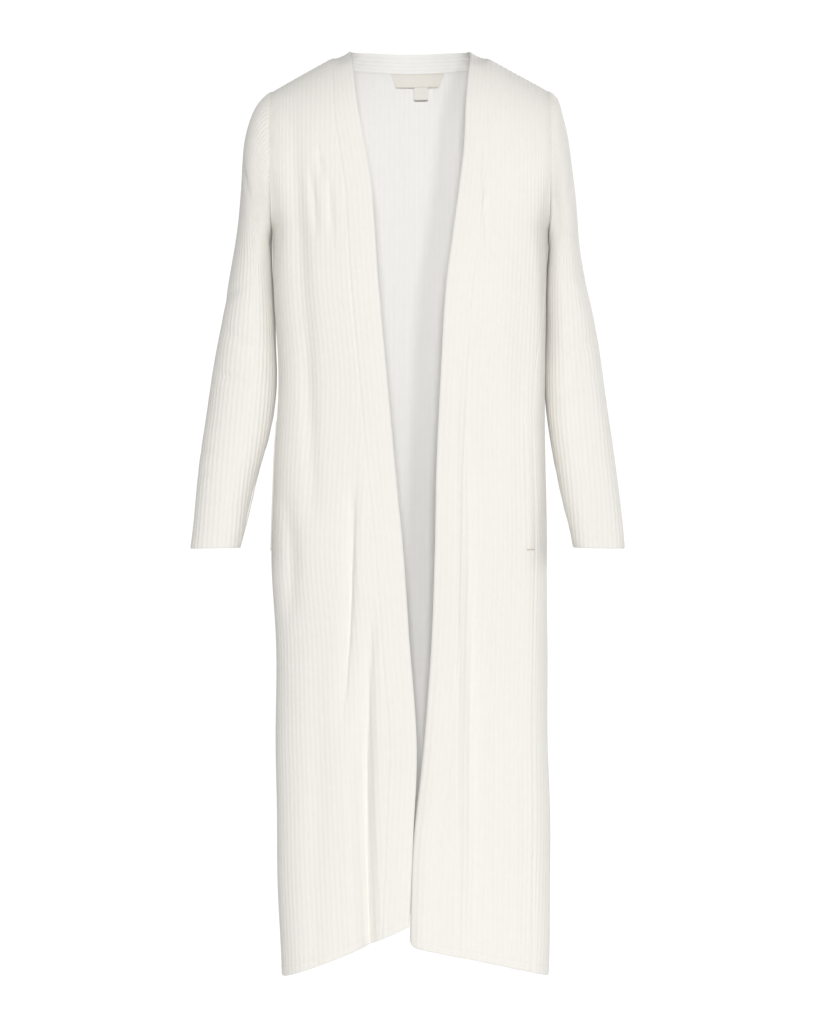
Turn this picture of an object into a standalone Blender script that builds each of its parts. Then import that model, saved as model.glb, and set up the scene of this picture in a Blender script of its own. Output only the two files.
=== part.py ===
"""A long open cardigan in ribbed knit, holding the shape it has when it is worn.

Metres, +Z up. The front faces -Y and the wearer's left is +X. The origin is midway
between the two high points of the shoulder line, where neck and shoulders meet.
Tables are in millimetres.
"""

import math

import bpy
import numpy as np

MM = 0.001

# Knit and seams
RIB_PITCH = 0.007
RIB_HEIGHT = 0.001
WALL = 0.0015
SEAM_GAP = 0.0003
BAND_RIBS = 5
SLEEVE_RIBS = 36
SLEEVE_INNER_COLUMNS = 18
BAND_INNER_COLUMNS = 3
BAND_TURN_SHARE = 1 / 3

# Shoulder line and neck
NECK_HALF = 0.106
NECK_CORNER_HEIGHT = -0.009
SHOULDER_HALF = 0.187
SHOULDER_SLOPE = 0.56
SHOULDER_DOME = 0.110
DOME_POWER = 2.2

# Round of a level section: 2 is an ellipse, more is squarer
BODY_ROUND = 2.4
SLEEVE_ROUND = 2.2

# One row for each level of the body, from the shoulder line to the hem.
#   drop        below the shoulder's end
#   slope       share of the shoulder line's slope, or at the back of the neckline's
#   hem         share of the hem's rise towards the middle
#   half_*      half width, at the armhole's edge or the side
#   arm         depth at the armhole's edge, before the shoulder closes over it
#   front, back depth at the middle
#   edge_*      where each front ends, from the middle
#   band        width of the front band
#   seam_left   how far the left side seam lies forward
BODY_COLUMNS = (
    "drop", "slope", "hem", "half_right", "half_left", "arm", "front", "back",
    "edge_right", "edge_left", "band", "seam_left",
)
BODY_ROWS = (
    (0.0, 1.00, 0.00, 187.0, 187.0, 63, 80, 80, -83.0, 83.0, 24.0, 0),
    (5.5, 0.97, 0.00, 187.0, 187.0, 63, 80, 80, -81.0, 82.0, 24.5, 0),
    (16.0, 0.90, 0.00, 187.0, 187.0, 63, 81, 81, -79.0, 81.0, 26.0, 0),
    (38.0, 0.80, 0.00, 187.0, 187.0, 63, 85, 85, -75.0, 78.0, 28.5, 0),
    (72.0, 0.65, 0.00, 187.0, 187.0, 63, 92, 91, -70.0, 74.0, 31.0, 0),
    (112.0, 0.45, 0.00, 187.0, 187.0, 63, 99, 94, -60.5, 71.5, 33.5, 0),
    (152.0, 0.25, 0.00, 187.0, 187.0, 50, 103, 95, -51.5, 65.5, 35.0, 0),
    (181.0, 0.08, 0.00, 187.0, 187.0, 30, 105, 94, -48.0, 60.0, 36.0, 0),
    (195.5, 0.00, 0.00, 186.5, 186.5, 0, 106, 93, -46.5, 57.5, 36.5, 0),
    (275.0, 0.00, 0.00, 184.0, 183.5, 0, 106, 90, -41.0, 47.0, 37.0, 30),
    (395.0, 0.00, 0.00, 177.5, 181.0, 0, 98, 84, -30.0, 40.0, 37.0, 50),
    (515.0, 0.00, 0.00, 183.5, 182.0, 0, 96, 88, -19.0, 34.5, 37.0, 50),
    (625.0, 0.00, 0.00, 187.0, 185.0, 0, 96, 94, -8.5, 32.5, 37.0, 50),
    (745.0, 0.00, 0.05, 182.0, 186.0, 0, 90, 90, -0.5, 28.0, 37.0, 50),
    (895.0, 0.00, 0.25, 181.0, 187.0, 0, 84, 85, 9.0, 17.5, 37.0, 48),
    (1045.0, 0.00, 0.60, 178.0, 189.5, 0, 79, 80, 3.9, 3.8, 37.0, 46),
    (1195.5, 0.00, 1.00, 173.0, 188.0, 0, 76, 77, -1.2, -0.6, 37.0, 44),
)
UNDERARM = 8
LENGTHS = ("drop", "half_right", "half_left", "arm", "front", "back",
           "edge_right", "edge_left", "band", "seam_left")

# How far the hem rises to the middle, and how evenly, for each panel
HEM_RISE = {"front_right": (0.075, 0.9), "front_left": (0.048, 0.8), "back": (0.068, 1.2)}

# Back neck: the seam's half width and height, and the band's top edge above it
NECK_COLUMNS = ("seam_x", "seam_z", "edge_x", "edge_y", "edge_z")
NECK_ROWS = (
    (103, -11.5, 81.5, 11, 3.0),
    (98, -13.5, 79.0, 22, 3.8),
    (90, -15.0, 75.0, 33, 5.0),
    (75, -16.0, 65.0, 45, 6.5),
    (50, -16.8, 44.0, 57, 7.8),
    (25, -17.0, 22.5, 66, 8.3),
    (0, -17.0, 0.0, 69, 8.5),
)

# Soft troughs that run down a panel, with their heights and distances from the middle
FOLD_COLUMNS = ("panel", "top", "bottom", "x_top", "x_middle", "x_bottom", "depth", "width")
FOLD_ROWS = (
    ("front_right", -560, -940, -73, -77, -92, 5, 10),
    ("front_right", -740, -1340, -46, -55, -40, 14, 8),
    ("front_right", -70, -640, -158, -142, -127, 4, 9),
    ("front_left", -330, -1330, 73, 82, 88, 5, 9),
    ("front_left", -620, -1330, 126, 119, 112, 5, 14),
    ("back", -450, -1330, -92, -96, -104, 8, 18),
    ("back", -620, -1330, 66, 72, 84, 8, 17),
    ("back", -280, -1020, -12, -2, 6, 5, 20),
    ("back", -760, -1330, 132, 138, 141, 6, 14),
)
FOLD_FADE = 0.7

# The front edges turn back a little, more towards the hem
CURL_WIDTH = 0.022
CURL_DEPTH = {"front_right": (0.0015, 0.004), "front_left": (0.0025, 0.008), "back": (0.0, 0.0)}
CURL_TOP, CURL_BOTTOM = -0.70, -1.15

# One row for each ring of a sleeve after the armhole: its outer and inner point seen
# from the front, its half depth and how far back its middle lies.
SLEEVE_COLUMNS = (
    "outer_z", "outer_right", "outer_left", "inner_z", "inner_right", "inner_left",
    "half_depth", "back",
)
SLEEVE_ROWS = (
    (-64, 199.0, 198.5, -252.5, 188.8, 188.8, 64.0, 0),
    (-84, 212.0, 204.5, -257, 189.0, 188.8, 65.5, 2),
    (-125, 223.5, 214.5, -265, 188.9, 188.8, 66.0, 5),
    (-190, 230.0, 223.0, -285, 188.2, 188.0, 65.0, 10),
    (-262, 236.5, 230.5, -320, 187.0, 186.8, 62.0, 15),
    (-345, 252.0, 245.5, -382, 183.6, 185.6, 57.0, 18),
    (-430, 267.5, 261.0, -447, 181.0, 184.0, 51.0, 16),
    (-510, 279.0, 271.5, -516, 191.5, 188.5, 45.0, 9),
    (-590, 287.5, 282.0, -593, 211.5, 204.0, 39.0, -1),
    (-673, 297.0, 288.5, -672, 230.0, 221.0, 32.0, -13),
)
SLEEVE_TURN = {8: 1.0, 7: 0.8, 6: 0.55}
SLEEVE_TURN_ELSEWHERE = 0.35
SLEEVE_CLEAR = 0.0014

# Pocket edges, label and size tab
POCKET_TOP, POCKET_BOTTOM = -0.500, -0.676
POCKET_INSET = {"front_right": 0.003, "front_left": 0.006}
POCKET_WIDTH = 0.009
POCKET_COLUMNS = 3
TRIM_WALL = 0.0014
TRIM_GAP = 0.0003
LABEL_LEFT, LABEL_RIGHT = 0.0475, -0.0265
LABEL_ROWS = (0.2, 1, 1.9)
LABEL_COLUMNS = 7
LABEL_WALL = 0.001
TAB_LEFT, TAB_RIGHT = 0.0245, 0.0060
TAB_LENGTH = 0.016
TAB_COLUMNS = 2
TAB_WALL = 0.002

CREAM = (0.88, 0.86, 0.81)
TAPE = (0.80, 0.77, 0.70)
TAB_TAPE = (0.84, 0.82, 0.77)
ROUGHNESS = 0.9
SHARP_DEGREES = 50

# How finely a level is measured, how far past its ends, and how close columns may be
SAMPLES = 700
NUDGE = 0.004
SPARE_DEGREES = 35
CROWDED = 0.4
ROUNDING = 1e-9


def clear_scene():
    for item in list(bpy.data.objects):
        bpy.data.objects.remove(item, do_unlink=True)


def table(rows, columns, lengths):
    """A table's numbers as an array, with its lengths in metres."""
    scale = np.array([MM if column in lengths else 1.0 for column in columns])
    return np.array(rows, float) * scale


BODY = table(BODY_ROWS, BODY_COLUMNS, LENGTHS)
NECK = table(NECK_ROWS, NECK_COLUMNS, NECK_COLUMNS)
SLEEVE = table(SLEEVE_ROWS, SLEEVE_COLUMNS, SLEEVE_COLUMNS)


def smooth_rows(rows, place):
    """The table's values at fractional row numbers, on smooth curves through its rows."""
    last = len(rows) - 1
    place = np.clip(np.asarray(place, float), 0, last)
    index = np.minimum(place.astype(int), last - 1)
    t = (place - index)[..., None]
    start, end = rows[index], rows[index + 1]
    leave = (end - rows[np.maximum(index - 1, 0)]) / 2
    arrive = (rows[np.minimum(index + 2, last)] - start) / 2
    return (
        start * (2 * t**3 - 3 * t**2 + 1)
        + leave * (t**3 - 2 * t**2 + t)
        + end * (3 * t**2 - 2 * t**3)
        + arrive * (t**3 - t**2)
    )


def body_row(place):
    return dict(zip(BODY_COLUMNS, np.moveaxis(smooth_rows(BODY, place), -1, 0)))


def unit(vectors):
    return vectors / np.linalg.norm(vectors, axis=-1, keepdims=True)


def ridge_height(x):
    """Where front and back would meet above x, along the shoulder line's slope."""
    return NECK_CORNER_HEIGHT - SHOULDER_SLOPE * (np.abs(x) - NECK_HALF)


SHOULDER_END = float(ridge_height(SHOULDER_HALF))


def top_outline(x, behind):
    """The panel's top edge: the shoulder line, and behind the neck its lower neckline."""
    seam_x = np.append(NECK[::-1, 0], NECK_HALF)
    seam_z = np.append(NECK[::-1, 1], NECK_CORNER_HEIGHT)
    neckline = np.interp(np.abs(x), seam_x, seam_z)
    return np.where(behind & (np.abs(x) < NECK_HALF), neckline, ridge_height(x))


def hem_rise(panel, x, half, behind):
    """How far the hem stands above the sides' lowest point."""
    inward = np.clip(1 - np.abs(x) / half, 0, 1)
    if panel == "back":
        rise, power = HEM_RISE["back"]
        side_rise, side_power = HEM_RISE["front_left"]
        arch = (0.5 - 0.5 * np.cos(math.pi * inward)) ** power
        return np.where(behind, rise * arch, side_rise * inward**side_power)
    rise, power = HEM_RISE[panel]
    return rise * inward**power


def dome(below):
    """How much of the full depth the cloth has this far below the shoulder line."""
    share = np.clip(below / SHOULDER_DOME, 0, 1)
    return (1 - (1 - share) ** DOME_POWER) ** (1 / DOME_POWER)


def body_points(panel, angle, place):
    """The smooth form: angle goes round from the wearer's left side by way of the back."""
    angle, place = np.broadcast_arrays(np.asarray(angle, float), place)
    row = body_row(place)
    along, across = np.cos(angle), np.sin(angle)
    behind = across > 0
    depth = np.where(behind, row["back"], row["front"])
    half = np.where(along > 0, row["half_left"], row["half_right"])
    arm = np.clip(row["arm"], 0, None)
    wide = half / (1 - (arm / depth) ** BODY_ROUND) ** (1 / BODY_ROUND)
    x = np.sign(along) * wide * np.abs(along) ** (2 / BODY_ROUND)
    height = SHOULDER_END - row["drop"]
    tilt = row["slope"] * (top_outline(x, behind) - SHOULDER_END)
    z = height + tilt + row["hem"] * hem_rise(panel, x, half, behind)
    closing = dome(ridge_height(x) - z)
    y = np.sign(across) * depth * np.abs(across) ** (2 / BODY_ROUND) * closing
    return np.stack([x, y, z], axis=-1)


def body_normals(panel, angle, place):
    round_ = body_points(panel, angle + NUDGE, place) - body_points(panel, angle - NUDGE, place)
    down = body_points(panel, angle, place + NUDGE) - body_points(panel, angle, place - NUDGE)
    return unit(np.cross(down, round_))


def level_lengths(points, middle):
    """Distance along a level line of points, from its point number middle."""
    steps = np.hypot(np.diff(points[:, 0]), np.diff(points[:, 1]))
    lengths = np.concatenate([[0.0], np.cumsum(steps)])
    return lengths - lengths[middle]


def panel_angles(panel):
    """Angles across a panel: a front from its side, the back from its right side."""
    spare = math.radians(SPARE_DEGREES)
    if panel == "back":
        return np.linspace(math.pi + spare, -spare, 2 * SAMPLES + 1)
    from_side = np.linspace(0, math.pi / 2 + spare, SAMPLES)
    return -from_side if panel == "front_left" else from_side - math.pi


def outward(panel, x):
    """Distance that falls from a front's side to the middle, or that grows across the back."""
    return -x if panel == "front_right" else x


def wale_places(panel, place):
    """Angles across a level, and which part of the panel's width each one is.

    A rib keeps its distance along the cloth from the side seam, or from the middle of
    the back. Above the underarm it goes straight up.
    """
    angles = panel_angles(panel)
    middle = SAMPLES if panel == "back" else 0
    low = body_points(panel, angles, max(place, UNDERARM))
    arcs = level_lengths(low, middle)
    if place >= UNDERARM:
        return angles, arcs
    x_low = outward(panel, low[:, 0])
    here = outward(panel, body_points(panel, angles, place)[:, 0])
    if panel == "back":
        upper = np.abs(angles - math.pi / 2) < math.pi / 2
        here, x_low, arcs = here[upper], x_low[upper], arcs[upper]
        past = here - np.clip(here, x_low[0], x_low[-1])
        return angles[upper], np.interp(here, x_low, arcs) + past
    widest = x_low[0]
    arcs_here = np.interp(-here, -x_low, arcs)
    return angles, np.where(here > widest, widest - here, arcs_here)


def panel_ends(panel, place):
    """Where a panel starts and ends along a level: side to edge, or right to left."""
    angles, arcs = wale_places(panel, place)
    row = body_row(place)
    points = body_points(panel, angles, place)
    if panel == "back":
        if place < UNDERARM:
            ends = np.interp([-row["half_right"], row["half_left"]], points[:, 0], arcs)
            return float(ends[0]), float(ends[1])
        round_left = points[:, 0] > 0
        left = np.interp(row["seam_left"], -points[round_left, 1], arcs[round_left])
        right = np.interp(0.0, points[~round_left, 1], arcs[~round_left])
        return float(right) + SEAM_GAP / 2, float(left) - SEAM_GAP / 2
    side = "left" if panel == "front_left" else "right"
    falling = -outward(panel, points[:, 0])
    edge = np.interp(-outward(panel, row["edge_" + side]), falling, arcs)
    if place < UNDERARM:
        start = np.interp(-row["half_" + side], falling, arcs)
    else:
        seam = row["seam_left"] if side == "left" else 0.0
        forward = -points[:SAMPLES // 2, 1]
        start = np.interp(seam, forward, arcs[:SAMPLES // 2]) + SEAM_GAP / 2
    return float(start), float(edge)


def band_start(panel, place):
    """Where the band's seam edge lies on a front; on the shoulder line it meets the neck's."""
    if place > 0:
        return panel_ends(panel, place)[1] - float(body_row(place)["band"])
    angles, arcs = wale_places(panel, 0)
    falling = -outward(panel, body_points(panel, angles, 0)[:, 0])
    return float(np.interp(-NECK_HALF, falling, arcs)) + SEAM_GAP


def fold_depth(panel, points):
    """How far the cloth is pushed in by the panel's troughs."""
    depth = np.zeros(len(points))
    for row in FOLD_ROWS:
        fold = dict(zip(FOLD_COLUMNS, row))
        if fold["panel"] != panel:
            continue
        top, bottom = fold["top"] * MM, fold["bottom"] * MM
        t = np.clip((top - points[:, 2]) / (top - bottom), 0, 1)
        centre = (
            fold["x_top"] * (1 - t) * (1 - 2 * t)
            + fold["x_middle"] * 4 * t * (1 - t)
            + fold["x_bottom"] * t * (2 * t - 1)
        ) * MM
        aside = (points[:, 0] - centre) / (fold["width"] * MM)
        depth += fold["depth"] * MM * np.exp(-(aside**2) / 2) * np.sin(math.pi * t) ** FOLD_FADE
    return depth


def curl_depth(panel, points, to_edge):
    """How far a front edge turns back."""
    high, low = CURL_DEPTH[panel]
    lower = np.clip((CURL_TOP - points[:, 2]) / (CURL_TOP - CURL_BOTTOM), 0, 1)
    near = np.clip(1 - to_edge / CURL_WIDTH, 0, 1)
    return (high + (low - high) * lower) * near**2


def cloth(panel, place, arcs):
    """Points and outward directions of a panel along one level."""
    angles, places = wale_places(panel, place)
    order = np.argsort(places)
    angle = np.interp(arcs, places[order], angles[order])
    points = body_points(panel, angle, place)
    normals = body_normals(panel, angle, place)
    move = fold_depth(panel, points)
    if panel != "back":
        edge = panel_ends(panel, place)[1]
        move = move + curl_depth(panel, points, edge - np.asarray(arcs))
    points = points - normals * move[:, None]
    if place < UNDERARM:
        points[:, 1] += SEAM_GAP / 2 if panel == "back" else -SEAM_GAP / 2
    return points, normals


def rib(arcs):
    """0 in a furrow and 1 on a rib."""
    return 0.5 - 0.5 * np.cos(2 * math.pi * np.asarray(arcs) / RIB_PITCH)


def columns_between(start, end, step, keep=()):
    """Places a step apart, with both ends and the kept ones, and none crowded."""
    fixed = np.array([start, *keep, end])
    count = np.arange(math.ceil(start / step), math.floor(end / step) + 1)
    clear = CROWDED * step
    places = [place for place in count * step if np.abs(fixed - place).min() > clear]
    return np.sort(np.concatenate([fixed, places]))


def neck_knots():
    """Points and outward directions of the back neck's seam, at each row of its table."""
    angles, arcs = wale_places("back", 0)
    xs = body_points("back", angles, 0)[:, 0]
    knot_x = np.concatenate([[-NECK_HALF], -NECK[:, 0], NECK[-2::-1, 0], [NECK_HALF]])
    knot_arcs = np.interp(knot_x, xs, arcs)
    points, normals = cloth("back", 0, knot_arcs)
    return knot_arcs, points, normals


def neckline_row(arcs):
    """The back's top edge: straight between the knots of the neck's seam."""
    points, normals = cloth("back", 0, arcs)
    knot_arcs, knot_points, knot_normals = neck_knots()
    inside = (arcs >= knot_arcs[0]) & (arcs <= knot_arcs[-1])
    for axis in range(3):
        points[inside, axis] = np.interp(arcs[inside], knot_arcs, knot_points[:, axis])
        normals[inside, axis] = np.interp(arcs[inside], knot_arcs, knot_normals[:, axis])
    return points, unit(normals)


def panel_row(panel, place, step, height):
    """One row of a panel's skin: its places along the level and its points."""
    start, end = panel_ends(panel, place)
    at_neck = panel == "back" and place == 0
    if panel != "back":
        end = band_start(panel, place) - SEAM_GAP
    arcs = columns_between(start, end, step, neck_knots()[0] if at_neck else ())
    points, normals = neckline_row(arcs) if at_neck else cloth(panel, place, arcs)
    raised = rib(arcs) * height if height > 0 else np.full(len(arcs), height)
    if height > 0:
        raised[[0, -1]] = 0
    return arcs, points + normals * raised[:, None]


def zipped(first, second):
    """Triangles between two rows of (place, vertex), whatever their counts."""
    triangles = []
    i = j = 0
    while i < len(first) - 1 or j < len(second) - 1:
        next_first = first[i + 1][0] if i < len(first) - 1 else math.inf
        next_second = second[j + 1][0] if j < len(second) - 1 else math.inf
        if next_first <= next_second + ROUNDING:
            triangles.append((first[i][1], first[i + 1][1], second[j][1]))
            i += 1
        else:
            triangles.append((first[i][1], second[j + 1][1], second[j][1]))
            j += 1
    return triangles


def material(name, colour):
    made = bpy.data.materials.new(name)
    made.use_nodes = True
    shader = made.node_tree.nodes["Principled BSDF"]
    shader.inputs["Base Color"].default_value = (*colour, 1)
    shader.inputs["Roughness"].default_value = ROUGHNESS
    shader.inputs["Metallic"].default_value = 0.0
    made.diffuse_color = (*colour, 1)
    return made


def add_object(name, vertices, faces, colour):
    mesh = bpy.data.meshes.new(name)
    mesh.from_pydata([tuple(map(float, point)) for point in vertices], [], faces)
    mesh.materials.append(material(name, colour))
    made = bpy.data.objects.new(name, mesh)
    bpy.data.collections["duster_cardigan"].objects.link(made)
    return made


def signed_volume(vertices, faces):
    corners = np.asarray(vertices)[np.asarray(faces)]
    return float(np.linalg.det(corners).sum())


def loft_wall(name, outer, inner, colour, closed=False):
    """A cloth wall between rows of outer and inner points, each row (places, points)."""
    vertices = []
    rings = []
    for places, points in [*outer, *inner[::-1]]:
        first = len(vertices)
        vertices.extend(points)
        ring = [(place, first + i) for i, place in enumerate(places)]
        if closed:
            ring.append((places[0] + 1.0, first))
        rings.append(ring)
    faces = []
    for ring, following in zip(rings, rings[1:] + rings[:1]):
        faces += zipped(ring, following)
    if not closed:
        for end, turned in ((0, True), (-1, False)):
            faces += side_rim(rings, end, turned)
    if signed_volume(vertices, faces) < 0:
        faces = [face[::-1] for face in faces]
    made = add_object(name, vertices, faces, colour)
    made.data.shade_smooth()
    made.data.set_sharp_from_angle(angle=math.radians(SHARP_DEGREES))
    return made


def side_rim(rings, end, turned):
    """The narrow strip that closes a wall along one side."""
    count = len(rings) // 2
    faces = []
    for row in range(count - 1):
        here, below = rings[row][end][1], rings[row + 1][end][1]
        inner_here, inner_below = rings[-1 - row][end][1], rings[-2 - row][end][1]
        pair = [(here, below, inner_below), (here, inner_below, inner_here)]
        faces += [face if turned else face[::-1] for face in pair]
    return faces


def body_panel(name, inner_step):
    """The back or a front, whose skins it gives."""
    rows = range(len(BODY))
    outer = [panel_row(name, row, RIB_PITCH / 2, RIB_HEIGHT) for row in rows]
    inner = [panel_row(name, row, inner_step, -WALL) for row in rows]
    loft_wall(name, outer, inner, CREAM)
    return outer, inner


def front_band_row(name, place, shares):
    """Points and directions across the band on a front, from its seam to its edge."""
    start, edge = band_start(name, place), panel_ends(name, place)[1]
    return cloth(name, place, start + (edge - start) * shares)


def neck_band_rows(shares):
    """The same behind the neck, from the right shoulder line to the left."""
    _, seams, seam_normals = neck_knots()
    half = [(x, y, z) for _, _, x, y, z in NECK]
    edges = np.array([(-x, y, z) for x, y, z in half] + half[-2::-1])
    seams, seam_normals = seams[1:-1], seam_normals[1:-1]
    along = np.gradient(seams, axis=0) + np.gradient(edges, axis=0)
    across = unit(edges - seams)
    normals = unit(np.cross(across, along))
    normals *= np.sign((normals * seam_normals).sum(axis=1))[:, None]
    rows = []
    for seam, edge, up, seam_normal, normal in zip(seams, edges, across, seam_normals, normals):
        start = seam + up * SEAM_GAP
        points = start + (edge - start) * shares[:, None]
        own = np.clip(shares / BAND_TURN_SHARE, 0, 1)[:, None]
        rows.append((points, unit(seam_normal * (1 - own) + normal * own)))
    return rows


def band_rows(columns, height):
    """All the band's rows: up the right front, round the neck, down the left front."""
    shares = np.linspace(0, 1, columns + 1)
    downward = range(len(BODY))
    rows = [front_band_row("front_right", place, shares) for place in downward[::-1]]
    rows += neck_band_rows(shares)
    rows += [front_band_row("front_left", place, shares) for place in downward]
    ribs = np.sin(math.pi * BAND_RIBS * shares) ** 2
    raised = ribs * height if height > 0 else np.full(len(shares), height)
    return [(shares, points + normals * raised[:, None]) for points, normals in rows]


def front_band():
    outer = band_rows(2 * BAND_RIBS, RIB_HEIGHT)
    inner = band_rows(BAND_INNER_COLUMNS, -WALL)
    loft_wall("front_band", outer, inner, CREAM)


def armhole(side):
    """The armhole's edge from the shoulder by the front to the underarm and up the back.

    Gives its points and the directions from the wall's inside to its outside.
    """
    front = "front_left" if side > 0 else "front_right"
    points, normals = [], []
    for name, end in ((front, 0), ("back", 1 if side > 0 else 0)):
        levels = range(UNDERARM + 1)
        rows = [cloth(name, place, [panel_ends(name, place)[end]]) for place in levels]
        points.append(np.concatenate([row[0] for row in rows]))
        normals.append(np.concatenate([row[1] for row in rows]))
    fore, aft = points
    fore_out, aft_out = normals
    tips = (fore[:1] + aft[:1]) / 2, (fore[-1:] + aft[-1:]) / 2
    loop = np.concatenate([tips[0], fore[1:-1], tips[1], aft[-2:0:-1]])
    out = np.concatenate([fore_out[:1], fore_out[1:-1], fore_out[-1:], aft_out[-2:0:-1]])
    return loop, out


def sleeve_start(side):
    """The sleeve's own edge: the armhole's loop a seam's gap on, and its wall's directions."""
    loop, out = armhole(side)
    along = np.roll(loop, -1, axis=0) - np.roll(loop, 1, axis=0)
    away = unit(np.cross(out, along))
    if away[0, 0] * side < 0:
        away = -away
    middle = loop.mean(axis=0)
    radial = loop - middle
    radial[:, 0] = 0
    radial = unit(radial)
    rows = np.concatenate([np.arange(UNDERARM + 1), np.arange(UNDERARM - 1, 0, -1)])
    turn = np.array([SLEEVE_TURN.get(int(row), SLEEVE_TURN_ELSEWHERE) for row in rows])[:, None]
    clear = SLEEVE_CLEAR * (turn - SLEEVE_TURN_ELSEWHERE) / (1 - SLEEVE_TURN_ELSEWHERE)
    start = loop + away * SEAM_GAP + clear * np.array([side, 0, 0])
    return start, unit(out * (1 - turn) + radial * turn)


def loop_columns(loop, count):
    """Splits a closed loop's chords into about count even steps: shares and chord places."""
    ends = np.roll(loop, -1, axis=0)
    lengths = np.linalg.norm(ends - loop, axis=1)
    half = len(loop) // 2
    places = []
    for first in (0, half):
        part = lengths[first:first + half]
        reach = np.concatenate([[0.0], np.cumsum(part)]) / part.sum()
        steps = np.diff(np.round(reach * count / 2)).astype(int)
        for chord, number in enumerate(steps):
            places += [first + chord + k / number for k in range(number)]
    return np.array(places)


def ring_points(row, side, shares):
    """One ring of a sleeve at even shares of its front and back halves."""
    name = "_left" if side > 0 else "_right"
    outer = np.array([side * row["outer" + name], row["back"], row["outer_z"]])
    inner = np.array([side * row["inner" + name], row["back"], row["inner_z"]])
    angle = np.linspace(0, 2 * math.pi, 2 * SAMPLES + 1)
    along = np.sign(np.cos(angle)) * np.abs(np.cos(angle)) ** (2 / SLEEVE_ROUND)
    across = np.sign(np.sin(angle)) * np.abs(np.sin(angle)) ** (2 / SLEEVE_ROUND)
    dense = (outer + inner) / 2 + along[:, None] * (outer - inner) / 2
    dense[:, 1] -= across * row["half_depth"]
    reach = np.concatenate([[0.0], np.cumsum(np.linalg.norm(np.diff(dense, axis=0), axis=1))])
    middle = reach[SAMPLES]
    reach_at_shares = np.interp(shares, [0, 0.5, 1], [0, middle, reach[-1]])
    return np.stack([np.interp(reach_at_shares, reach, dense[:, i]) for i in range(3)], axis=-1)


def sleeve_rows(side, count, height):
    """Rows of a sleeve's skin, each with the shares of its round and its points."""
    loop, out = sleeve_start(side)
    places = loop_columns(loop, count)
    shares = np.arange(len(places)) / len(places)
    chord = places.astype(int)
    t = (places - chord)[:, None]
    after = (chord + 1) % len(loop)
    start = loop[chord] * (1 - t) + loop[after] * t
    start_out = unit(out[chord] * (1 - t) + out[after] * t)
    rows = [dict(zip(SLEEVE_COLUMNS, values)) for values in SLEEVE]
    grid = np.array([start] + [ring_points(row, side, shares) for row in rows])
    down = np.gradient(grid, axis=0)
    round_ = np.roll(grid, -1, axis=1) - np.roll(grid, 1, axis=1)
    normals = unit(np.cross(round_, down))
    centre = grid.mean(axis=1, keepdims=True)
    if ((grid - centre) * normals).sum() < 0:
        normals = -normals
    normals[0] = start_out
    raised = np.full(len(shares), height)
    if height > 0:
        raised = height * (np.arange(len(shares)) % 2)
    return [(shares, ring + normal * raised[:, None]) for ring, normal in zip(grid, normals)]


def sleeve(name, side):
    outer = sleeve_rows(side, 2 * SLEEVE_RIBS, RIB_HEIGHT)
    inner = sleeve_rows(side, SLEEVE_INNER_COLUMNS, -WALL)
    loft_wall(name, outer, inner, CREAM, closed=True)


def sheet_piece(name, grid, wall, colour):
    """A small flat piece: a grid of points through its middle, thickened both ways."""
    rows, columns = grid.shape[:2]
    faces = []
    for i in range(rows - 1):
        for j in range(columns - 1):
            corner = i * columns + j
            faces.append((corner, corner + 1, corner + columns + 1, corner + columns))
    made = add_object(name, grid.reshape(-1, 3), faces, colour)
    thicken = made.modifiers.new("Thickness", "SOLIDIFY")
    thicken.thickness = wall
    thicken.offset = 0.0
    thicken.use_even_offset = True
    return made


def between_rows(rows, place, pick):
    """A value of a panel's skin at a fractional row number, straight between two rows."""
    low = min(int(place), len(rows) - 2)
    t = place - low
    return pick(low) * (1 - t) + pick(low + 1) * t


def pocket_welt(name, front):
    """The strip along a pocket's mouth, lying on the ribs of the front."""
    heights = [SHOULDER_END - row[0] for row in BODY]
    lift = RIB_HEIGHT + TRIM_GAP + TRIM_WALL / 2
    across = POCKET_INSET[front] + np.linspace(0, POCKET_WIDTH, POCKET_COLUMNS + 1)

    def level(place):
        points, normals = cloth(front, place, panel_ends(front, place)[0] + across)
        return points + normals * lift

    drops = -np.array(heights)
    top = float(np.interp(-POCKET_TOP, drops, range(len(BODY))))
    bottom = float(np.interp(-POCKET_BOTTOM, drops, range(len(BODY))))
    places = [top, *range(math.ceil(top), math.ceil(bottom)), bottom]
    grid = np.array([between_rows(heights, place, level) for place in places])
    sheet_piece(name, grid, TRIM_WALL, CREAM)


def label_and_tab(inner_rows):
    """The woven label under the back neck's seam, and the folded loop below it."""

    def inside_back(place, x, forward):
        def level(row):
            _, points = inner_rows[row]
            y = np.interp(x, points[:, 0], points[:, 1])
            z = np.interp(x, points[:, 0], points[:, 2])
            return np.stack([x, y, z], axis=-1)

        points = between_rows(inner_rows, place, level)
        points[:, 1] -= forward
        return points

    x = np.linspace(LABEL_RIGHT, LABEL_LEFT, LABEL_COLUMNS + 1)
    forward = TRIM_GAP + LABEL_WALL
    label = np.array([inside_back(place, x, forward) for place in LABEL_ROWS])
    sheet_piece("main_label", label, LABEL_WALL, TAPE)
    x = np.linspace(TAB_RIGHT, TAB_LEFT, TAB_COLUMNS + 1)
    top = inside_back(LABEL_ROWS[-1], x, TRIM_GAP + TAB_WALL)
    top[:, 2] -= LABEL_WALL / 2 + TRIM_GAP
    tab = np.array([top + (0, -forward * t, -TAB_LENGTH * t) for t in (0, 0.5, 1)])
    sheet_piece("size_tab", tab, TAB_WALL, TAB_TAPE)


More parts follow.
